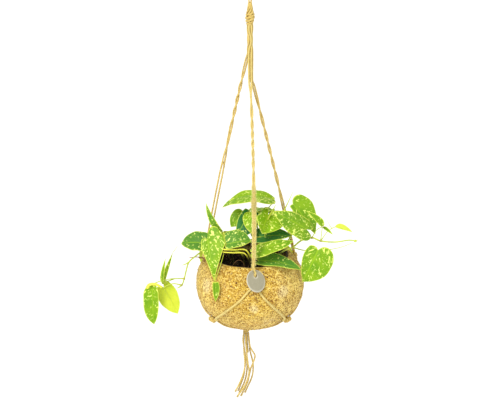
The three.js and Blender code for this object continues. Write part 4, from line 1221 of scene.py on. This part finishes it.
def tassel(draw):
    """The six free ends below the ball, each a cord with its loose fibres and its frayed tip."""
    for number, places in enumerate(TASSEL, 1):
        line = smooth_line(places)
        bm = new_shape()
        add_yarn(bm, [line], seed=number * 5.0)
        cord = jute_piece(bm, f"tassel_strand_{number}_twisted", f"tassel_strand_{number}")
        bm = new_shape()
        add_hairs(bm, line, draw, per_mm=1.0)
        add_hairs(bm, line, draw, per_mm=7.0, longest=1.6, thick=0.16)
        add_tubes(bm, frayed_tip(line, draw), hair_reach(0.2), sides=3)
        fibres = jute_piece(bm, f"tassel_fibres_{number}")
        route = [TO_FRAME @ point for point in line]
        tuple(route[0])
        length_of(route)


def frayed_tip(line, draw):
    """The brush of fibres at a cut end."""
    along, side, up = sides_of(line)[-3]
    foot = line[-2]
    fibres = []
    for _ in range(TIP_FIBRES):
        angle, out = draw.uniform(0, 2 * math.pi), draw.uniform(0.1, 1.0)
        spread = round_from(side, up, angle) * out
        far = 6.0 * draw.uniform(0.5, 1)
        start = foot + spread * 0.8 - along * 1.5
        fibres.append([start + along * far * s + spread * 1.5 * s * s for s in HAIR_SHARES])
    return fibres


def hanger(draw):
    hanging_loop(draw)
    top_knot(draw)
    for name, leg in LEGS.items():
        for number, side in ((1, -1), (2, 1)):
            if name == "front" and number == 2:
                places = tag_strand_places(leg, side)
            else:
                places = leg_places(leg, side)
                places.append(places[-1] - upper_knot_axis(leg) * 4)
            strand(f"leg_strand_{name}_{number}", places, draw, LEG_RADIUS, leg["pale"], leg["fuzz"])
        small_knot(f"upper_knot_{name}", upper_knot_middle(leg), upper_knot_axis(leg), UPPER_KNOT, draw)
    for pair, azimuth in LOWER_KNOTS:
        label = "_".join(pair)
        middle = lower_knot_middle(azimuth)
        small_knot(f"lower_knot_{label}", middle, sideways(azimuth), LOWER_KNOT, draw, phase=0.8)
        for name in pair:
            leg = LEGS[name]
            side = 1 if turn_from(leg, azimuth) > 0 else -1
            strand(f"net_strand_{name}_to_{label}", net_places(leg, azimuth, side), draw,
                   leg["net"]["radius"], leg["net"]["pale"])
            strand(f"under_strand_{label}_{name}", under_places(azimuth, -side), draw)
    bottom = Vector((BOTTOM_KNOT["x"], 0, -BALL_HALF_HEIGHT - GAP - BOTTOM_KNOT["length"] / 2))
    small_knot("bottom_knot", bottom, UP, BOTTOM_KNOT, draw)
    fluff(draw)


def fluff_piece(name, line, radius, seed, draw, *hairs):
    """Loose yarn along a line, with hairs as (reach, number a millimetre, longest, thickness, paleness
    from painted light).
    """
    bm = new_shape()
    add_yarn(bm, [line], radius, seed)
    for reach, per_mm, longest, thick, pale in hairs:
        add_hairs(bm, line, draw, reach, per_mm, longest, thick, pale)
    jute_piece(bm, name)


def fluff(draw):
    """Fluff in the tassel's root, the bundle and the front leg, a binding and a small knot."""
    front, left = LEGS["front"], LEGS["left"]
    tail = smooth_line([(-5.5, 0.4, -74), (-5.4, 0.4, -86), (-4.6, 0.2, -97), (-3.6, 0, -106)])
    fluff_piece("tassel_root_fluff", tail, 2.1, 15.0, draw, (2.4, 8.0, 2.6, 0.14, 0.0))
    gathered = smooth_line([UP * z for z in (front["split"] - 4, 340, TOP_KNOT_LOW + 2)])
    fluff_piece("bundle_fluff", gathered, 2.4, 8.0, draw, (3.2, 6.0, 3.0, 0.12, 0.0))
    tied = coil_line(leg_middle(left, 0.55), leg_run(left), radius=2.3, length=3.0, wraps=1.6)
    fluff_piece("leg_small_knot", tied, 0.9, 4.0, draw, (0.9, 1.5, 2.5, 0.07, 0.0))
    # The front leg's fluff is painted pale, as light on it.
    low = smooth_line([leg_middle(front, i / 10) for i in (5.4, 6.5, 7.5, 8.5, 9.4)])
    fluff_piece("leg_fluff", low, 0.9, 12.0, draw, (2.4, 9.0, 6.0, 0.2, 1.0), (2.2, 2.4, 5.0, 0.5, 1.0))
    bound = coil_line(leg_middle(front, 0.62), leg_run(front), radius=2.6, length=15, wraps=4.5,
                      swell=0.25)
    fluff_piece("leg_fuzzy_binding", bound, 0.45, 6.0, draw, (0.5, 14.0, 5.0, 0.11, 0.7))


def tag():
    """A round card with a hole, its edges softened, slightly warped, on the ball's front."""
    bm = new_shape()
    tints = bm.verts.layers.float["tint"]
    outer = bmesh.ops.create_circle(bm, cap_ends=False, radius=TAG["radius"], segments=96)["verts"]
    hole = bmesh.ops.create_circle(bm, cap_ends=False, radius=TAG["hole_radius"], segments=96)["verts"]
    bmesh.ops.translate(bm, verts=hole, vec=(*TAG["hole"], 0))
    bmesh.ops.bridge_loops(bm, edges=bm.edges[:])
    rings = [edge for edge in bm.edges if not edge.is_boundary]
    bmesh.ops.subdivide_edges(bm, edges=rings, cuts=6, use_grid_fill=True)
    raised = bmesh.ops.extrude_face_region(bm, geom=bm.faces[:])["geom"]
    top = [item for item in raised if isinstance(item, bmesh.types.BMVert)]
    bmesh.ops.translate(bm, verts=top, vec=(0, 0, TAG["thickness"]))
    bmesh.ops.translate(bm, verts=bm.verts, vec=(0, 0, -TAG["thickness"] / 2))
    bmesh.ops.recalc_face_normals(bm, faces=bm.faces)
    corners = [edge for edge in bm.edges if len(edge.link_faces) == 2 and edge.calc_face_angle() > 1]
    bmesh.ops.bevel(bm, geom=corners, offset=0.22, segments=2, profile=0.5, affect="EDGES", material=-1)
    for vert in bm.verts:
        rim = TAG["radius"] - vert.co.xy.length
        edge = min(rim, (vert.co.xy - Vector(TAG["hole"])).length - TAG["hole_radius"])
        vert[tints] = 1 - smooth_step(edge, 0.1, 0.45)
        vert.co.z += 0.35 * math.sin(vert.co.x * 0.12 + 0.6) * math.cos(vert.co.y * 0.1)
    across, up, face = tag_directions()
    turn = Matrix((across, up, face)).transposed().to_4x4()
    bm.transform(Matrix.Translation(TAG["middle"]) @ turn)
    new_piece(bm, "tag_card", [CARD], "tag", "tag")


# Ball and soil


def add_rolled(bm, rings, spot, sides):
    """A closed body turned round the upright axis: spot(share around, ring) gives each point."""
    sheet = bmesh.ops.create_grid(bm, x_segments=sides, y_segments=rings, size=0.5)["verts"]
    for number, vert in enumerate(sheet):
        ring, turn = divmod(number, sides + 1)
        vert.co = spot(turn % sides / sides, ring)
    bmesh.ops.remove_doubles(bm, verts=sheet, dist=1e-4)
    bmesh.ops.dissolve_degenerate(bm, dist=1e-5, edges=bm.edges)


def turned(x, around, z):
    """A point of a section, turned round the upright axis by a share of the whole way."""
    return Vector((x * math.cos(2 * math.pi * around), x * math.sin(2 * math.pi * around), z))


def ball_profile():
    """Half of the shell's section as (distance from the axis, height, roughness of the surface)."""
    tilt = tilt_at(RIM_HEIGHT)
    points = []
    outer = 112
    for i in range(outer + 1):
        a = mixed(-math.pi / 2, tilt, i / outer)
        points.append((BALL_RADIUS * math.cos(a), BALL_HALF_HEIGHT * math.sin(a), 1.0))
    x, z = points[-1][:2]
    for i in range(1, 9):
        a = math.pi * i / 9
        points.append((x - WALL / 2 * (1 - math.cos(a)), z + WALL * 0.2 * math.sin(a), 1.3))
    inner = 34
    for i in range(inner + 1):
        a = mixed(tilt, -math.pi / 2, (i / inner) ** 1.3)
        points.append(((BALL_RADIUS - WALL) * math.cos(a), (BALL_HALF_HEIGHT - WALL) * math.sin(a), 0.5))
    points[0] = (0, *points[0][1:])
    points[-1] = (0, *points[-1][1:])
    return points


def roughened(point, amount):
    """Moves a point of the ball in and out: slow dents, the press of the felt and its crumbs."""
    out = Vector((point.x, point.y, point.z * 1.35)).normalized()
    slow = 1.1 * noise.noise(point * 0.03) + 0.7 * noise.noise(point * 0.08 + Vector((9, 0, 0))) - 0.8
    felt = 0.45 * noise.noise(point * 0.24) + 0.38 * noise.noise(point * 0.6)
    felt += 0.22 * noise.noise(point * 1.3)
    return point + out * (slow + felt) * amount


def coir_ball(draw):
    bm = new_shape()
    profile = ball_profile()

    def spot(around, ring):
        x, z, rough = profile[ring]
        return roughened(turned(x, around, z), rough * smooth_step(x, 0.0, 8.0))

    add_rolled(bm, len(profile) - 1, spot, sides=300)
    new_piece(bm, "coir_ball_shell", [COIR], "coir", "coir_ball")
    ball_fibres(draw)


def fibre_on_ball(azimuth, tilt, size, draw, lift):
    """A fibre pressed into the ball's surface, bent a little along it."""
    middle = roughened(on_ball(azimuth, tilt, 0), 1.0)
    normal = (on_ball(azimuth, tilt, 1) - on_ball(azimuth, tilt, 0)).normalized()
    side = sideways(azimuth)
    up = normal.cross(side)
    angle = draw.uniform(0, math.pi)
    run = side * math.cos(angle) + up * math.sin(angle)
    bow = run.cross(normal) * draw.uniform(-0.28, 0.28)
    path = []
    for s in (-1, -0.4, 0.3, 1):
        flat = middle + run * size / 2 * s + bow * size * s * s
        a = math.degrees(math.atan2(flat.x, -flat.y))
        low = math.hypot(flat.x, flat.y) / BALL_RADIUS
        t = math.atan2(flat.z / BALL_HALF_HEIGHT, low)
        sunk = -0.25 if abs(s) == 1 else lift
        path.append(roughened(on_ball(a, min(t, tilt_at(RIM_HEIGHT)), 0), 1.0) + normal * sunk)
    return path


def ball_fibres(draw):
    """Fibres pressed into the outside, dark bits among them, and loose hairs round the rim."""
    bm = new_shape()
    top = tilt_at(RIM_HEIGHT)
    lines, tones, widths = [], [], []
    for count, sizes, thickness, lift, tone in (
        (COIR_FIBRES, (3.5, 10), (0.12, 0.3), 0.15, lambda: min(1.0, draw.betavariate(2.6, 1.2))),
        (DARK_BITS, (1.2, 3.0), (0.2, 0.42), 0.25, lambda: draw.uniform(0, 0.25)),
    ):
        for _ in range(count):
            tilt = math.asin(draw.uniform(-1, math.sin(top)))
            azimuth, size = draw.uniform(-180, 180), draw.uniform(*sizes)
            lines.append(fibre_on_ball(azimuth, tilt, size, draw, lift))
            tones.append(tone())
            widths.append(draw.uniform(*thickness))
    for _ in range(RIM_HAIRS):
        azimuth = draw.uniform(-180, 180)
        foot = on_ball(azimuth, top, draw.uniform(-6, 0.5)) + UP * 0.6
        run = (outward(azimuth) * draw.uniform(-1.2, 0.9) + sideways(azimuth) * draw.uniform(-1, 1)
               + UP * draw.uniform(-0.2, 0.8))
        drop = UP * -draw.uniform(0, 1.6)
        size = draw.uniform(2, 6)
        lines.append([foot + (run * s + drop * s * s) * size * 0.6 for s in HAIR_SHARES])
        tones.append(draw.uniform(0.15, 0.95))
        widths.append(draw.uniform(0.08, 0.18))
    add_tubes(bm, lines, lambda which, share, around: widths[which] * (1 - 0.6 * abs(2 * share - 1)),
              sides=3, tint=lambda which, share: tones[which])
    new_piece(bm, "coir_ball_fibres", [COIR_FIBRE], "coir")


def soil_profile():
    """Half of the soil's section: up the inside of the wall, then over the crown."""
    tilt = tilt_at(RIM_HEIGHT)
    points = []
    for i in range(8):
        a = mixed(-math.pi / 2, tilt, i / 8)
        inset = WALL + 2 * GAP
        points.append(((BALL_RADIUS - inset) * math.cos(a), (BALL_HALF_HEIGHT - inset) * math.sin(a), 0))
    x, z = points[-1][:2]
    for i in range(1, 35):
        share = 1 - i / 34
        points.append((x * share, mixed(SOIL_CROWN, z, share**2), 1))
    points[0] = (0, *points[0][1:])
    return points


def soil_dents(x, y):
    spot = Vector((x, y, 0))
    return 1.3 * noise.noise(spot * 0.11) + 0.9 * noise.noise(spot * 0.35)


def soil_height(x, y):
    """Height of the soil's rough top at a place inside the mouth."""
    edge, z = soil_profile()[7][:2]
    share = min(math.hypot(x, y) / edge, 1)
    return mixed(SOIL_CROWN, z, share**2) + soil_dents(x, y)


def soil(draw):
    bm = new_shape()
    profile = soil_profile()

    def spot(around, ring):
        x, z, top = profile[ring]
        point = turned(x, around, z)
        if top:
            rough = soil_dents(point.x, point.y) + 0.6 * noise.noise(point * 0.9)
            point.z += rough * smooth_step(x, 70, 58)
        return point

    add_rolled(bm, len(profile) - 1, spot, sides=120)
    new_piece(bm, "soil_bed", [EARTH], "soil", "soil")
    soil_crumbs(draw)
    soil_roots(draw)


def soil_crumbs(draw):
    """Crumbs and bits of bark on the soil, a few of them against the rim."""
    bm = new_shape()
    for number in range(CRUMBS):
        angle, far = draw.uniform(0, 2 * math.pi), CRUMBS_REACH * math.sqrt(draw.random())
        x, y = far * math.cos(angle), far * math.sin(angle)
        size = draw.uniform(0.6, 2.2) if number % 6 else draw.uniform(2, 3.6)
        place = Vector((x, y, soil_height(x, y) + size * 0.3))
        add_crumb(bm, place, size, draw, draw.choice((0, 0.1, 0.2, 0.5, 1)))
    for _ in range(RIM_CRUMBS):
        azimuth = draw.uniform(-92, -58)
        place = on_ball(azimuth, tilt_at(RIM_HEIGHT), draw.uniform(-6, 0.4)) + UP * 1.2
        add_crumb(bm, place, draw.uniform(0.5, 1.3), draw, 1.0)
    new_piece(bm, "soil_crumbs", [EARTH], "soil")


def add_crumb(bm, place, size, draw, tone):
    crumb = bmesh.ops.create_icosphere(bm, subdivisions=1, radius=size)["verts"]
    flat = draw.uniform(0.4, 0.9)
    for vert in crumb:
        vert.co = Vector((vert.co.x, vert.co.y, vert.co.z * flat)) * draw.uniform(0.7, 1.25)
        vert[bm.verts.layers.float["tint"]] = tone
    turn = Matrix.Rotation(draw.uniform(0, 6), 3, "Z") @ Matrix.Rotation(draw.uniform(-0.7, 0.7), 3, "X")
    bmesh.ops.rotate(bm, verts=crumb, cent=(0, 0, 0), matrix=turn)
    bmesh.ops.translate(bm, verts=crumb, vec=place)


def soil_roots(draw):
    """Fine roots that arch out of the soil, and two thicker ones over the rim on the left."""
    bm = new_shape()
    lines = [smooth_line(places, 1.0) for places in ROOTS]
    for _ in range(FINE_ROOTS):
        angle, far = draw.uniform(0, 2 * math.pi), draw.uniform(20, 60)
        x, y, turn = far * math.cos(angle), far * math.sin(angle), draw.uniform(0, 2 * math.pi)
        size = draw.uniform(6, 18)
        places = []
        for s in (0, 0.3, 0.7, 1):
            px = x + size * (s - 0.5) * math.cos(turn) + draw.uniform(-1.5, 1.5)
            py = y + size * (s - 0.5) * math.sin(turn) + draw.uniform(-1.5, 1.5)
            rise = draw.uniform(1.0, 3.5) * math.sin(math.pi * s) - 0.6
            places.append((px, py, soil_height(px, py) + rise))
        lines.append(smooth_line(places, 1.2))
    add_tubes(bm, lines, lambda which, share, around: (0.7 if which in (1, 2) else 0.38) - 0.2 * share,
              sides=5)
    new_piece(bm, "soil_roots", [ROOT_SKIN], "soil")


# Plant


def half_width(one, t, s):
    """Distance from the midrib to the margin on one side, at a place along the midrib."""
    widest, _, full = one["right" if s > 0 else "left"]
    if t < WIDEST:
        return widest * (1 - (1 - one["base"]) * (1 - t / WIDEST) ** 2)
    return max(widest * (1 - ((t - WIDEST) / (1 - WIDEST)) ** full), 0.15)


def lobe_at(edge):
    """Reach of a lobe from the notch (0) out to the margin (1), as a share of its furthest."""
    if edge < LOBE_CREST:
        return 1 - (1 - edge / LOBE_CREST) ** 3
    return 1 - LOBE_FALL * ((edge - LOBE_CREST) / (1 - LOBE_CREST)) ** 2


def blade_surface(one, draw):
    """Returns the function that places a point of the blade from t along, s across and its lift."""
    joint, axis = one["joint"], one["tip"] - one["joint"]
    length = axis.length
    axis.normalize()
    face = (one["face"] - axis * one["face"].dot(axis)).normalized()
    side = axis.cross(face)
    waves = [(draw.uniform(0, 6.28), draw.uniform(1.6, 2.6)) for _ in range(2)]
    wave_size = (one["left"][0] + one["right"][0]) * LEAF_WAVE
    veins = draw.uniform(8.0, 9.5)

    def spot(t, s, lift):
        edge = abs(s)
        half = half_width(one, t, s)
        back = one["right" if s > 0 else "left"][1] * (1 - t) ** 3 * lobe_at(edge)
        rise = one["fold"] * half * edge * (1 - 0.45 * edge) + one["bow"] * 4 * t * (1 - t)
        phase, pace = waves[s > 0]
        rise += wave_size * math.sin(phase + 6.28 * pace * t) * edge**2 * min(1, 6 * (1 - t))
        pucker = math.cos(2 * math.pi * (veins * t - 3.0 * edge))
        rise += PUCKER * pucker * min(1, 6 * edge) * (1 - edge) * 2 * (1 - t)
        rise -= RIB_SUNK * math.exp(-((s * half / 0.9) ** 2)) * (1 - t)
        return joint + axis * length * (t - back) + side * half * s + face * (rise + lift)

    return spot, length


def add_blade(bm, one, draw):
    """A blade with an upper and a lower face, closed round its edge."""
    rows, columns = 34, 22
    spot, length = blade_surface(one, draw)
    uv_leaf, uv_flat = bm.loops.layers.uv["leaf"], bm.loops.layers.uv["flat"]
    layer = bm.verts.layers.float
    tone, marks, rim = layer["tone"], layer["marks"], layer["edge"]
    shift = Vector((draw.uniform(0, 9), draw.uniform(0, 9)))
    own_tone = one["tone"] + draw.uniform(-0.06, 0.06)
    sheets = []
    for half_thick in (BLADE_HALF, -BLADE_HALF):
        sheet = bmesh.ops.create_grid(bm, x_segments=columns, y_segments=rows, size=0.5)["verts"]
        where = {}
        for index, vert in enumerate(sheet):
            row, column = divmod(index, columns + 1)
            t, s = row / rows, 2 * column / columns - 1
            half = half_width(one, t, s)
            vert.co = spot(t, s, half_thick)
            vert[rim] = min((1 - abs(s)) * half, t * length, (1 - t) * length * 0.6)
            vert[tone] = own_tone
            vert[marks] = one["marks"]
            where[vert] = (t, s, half)
        faces = list({face for vert in sheet for face in vert.link_faces})
        for face in faces:
            face.material_index = 0 if half_thick > 0 else 1
            side = 3 if sum(where[vert][1] for vert in face.verts) > 0 else 0
            for loop in face.loops:
                t, s, half = where[loop.vert]
                loop[uv_leaf].uv = (s / 2 + 0.5, t)
                loop[uv_flat].uv = (shift.x + side + abs(s) * half / 100, shift.y + t * length / 100)
        sheets.append((sheet, faces))
    bmesh.ops.reverse_faces(bm, faces=sheets[1][1])
    edges = {edge for sheet, _ in sheets for vert in sheet for edge in vert.link_edges if edge.is_boundary}
    bmesh.ops.bridge_loops(bm, edges=list(edges))


def add_petiole(bm, one, draw):
    """The leaf's stalk from its sheath on the stem, and its midrib under the blade, as one tube."""
    spot, _ = blade_surface(one, draw)
    halfway = one["start"].lerp(one["joint"], 0.5) + UP * 4
    under = [(0, -0.8), (0.14, -0.75), (0.35, -0.6), (0.6, -0.45), (0.82, -0.32)]
    places = [one["start"], one["bend"] or halfway, *(spot(t, 0, lift) for t, lift in under)]
    line = smooth_line(places, 1.6)
    stalk = length_of(smooth_line(places[:3], 1.6)) / length_of(line)
    size = max(PETIOLE_THINNEST, min(1.0, (one["left"][0] + one["right"][0]) / 24))

    def reach(which, share, around):
        if share < stalk:
            sheath = 0.55 * math.exp(-share * length_of(line) / 4)
            return size * (0.85 + sheath - 0.12 * math.sin(math.pi * share / stalk))
        return size * mixed(0.85, 0.14, ((share - stalk) / (1 - stalk)) ** 0.6)

    add_tubes(bm, [line], reach, sides=8, material=ON_STEM,
              tint=lambda which, share: 0.35 * math.exp(-share * 18))


def add_stem(bm, places, nodes):
    """A stem with a swollen ring at each leaf and a tapered tip."""
    line = smooth_line(places, 1.3)
    long = length_of(line)

    def node_at(point):
        return max((math.exp(-(((point - node).length / 1.7) ** 2)) for node in nodes), default=0)

    swell = [node_at(point) for point in line]

    def reach(which, share, around):
        index = round(share * (len(line) - 1))
        taper = 1.5 - 0.7 * share
        tip = min(1.0, 0.25 + (1 - share) * long / 4)
        return (taper + 0.55 * swell[index]) * tip

    def tint(which, share):
        return 0.75 * swell[round(share * (len(line) - 1))]

    add_tubes(bm, [line], reach, sides=10, material=ON_STEM, tint=tint)


def vine(name, shape, draw):
    bm = new_shape()
    add_stem(bm, shape["stem"], [one["start"] for one in shape["leaves"]])
    for one in shape["leaves"]:
        seed = draw.random()
        add_petiole(bm, one, random.Random(seed))
        add_blade(bm, one, random.Random(seed))
    for places, thick, thin, *yellow in shape.get("sprigs", []):
        add_tubes(bm, [smooth_line(places, 1.2)],
                  lambda which, share, around: mixed(thick, thin, share) * SPRIG_THICKENED,
                  sides=6, material=ON_STEM, tint=-1.0 if yellow else 0.0)
    if "bud" in shape:
        add_tubes(bm, [smooth_line(shape["bud"], 0.5)],
                  lambda which, share, around: 0.5 + 1.5 * math.sin(math.pi * share**0.8),
                  sides=8, material=ON_STEM)
    new_piece(bm, name + "_grown", [LEAF_TOP, LEAF_UNDER, STEM_SKIN], "leaf", name)


SPECKS = make_specks()
PATCHES = make_patches()
POT_SHADE = make_pot_shade()
LEAF_PATTERN = make_leaf_pattern()

COIR = coir()
COIR_FIBRE = coir_fibre()
EARTH = earth()
ROOT_SKIN = root_skin()
JUTE = jute()
CARD = card()
LEAF_TOP = leaf_top()
LEAF_UNDER = leaf_under()
STEM_SKIN = stem_skin()

add_camera()
tassel(random.Random(11))
add_studio()
hanger(random.Random(12))
tag()
coir_ball(random.Random(13))
soil(random.Random(14))
for number, (name, shape) in enumerate(VINES.items()):
    vine(name, shape, random.Random(20 + number))

boxes = {"cad": cad_box, "visual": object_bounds()}
{key: [list(corner) for corner in box] for key, box in boxes.items()}
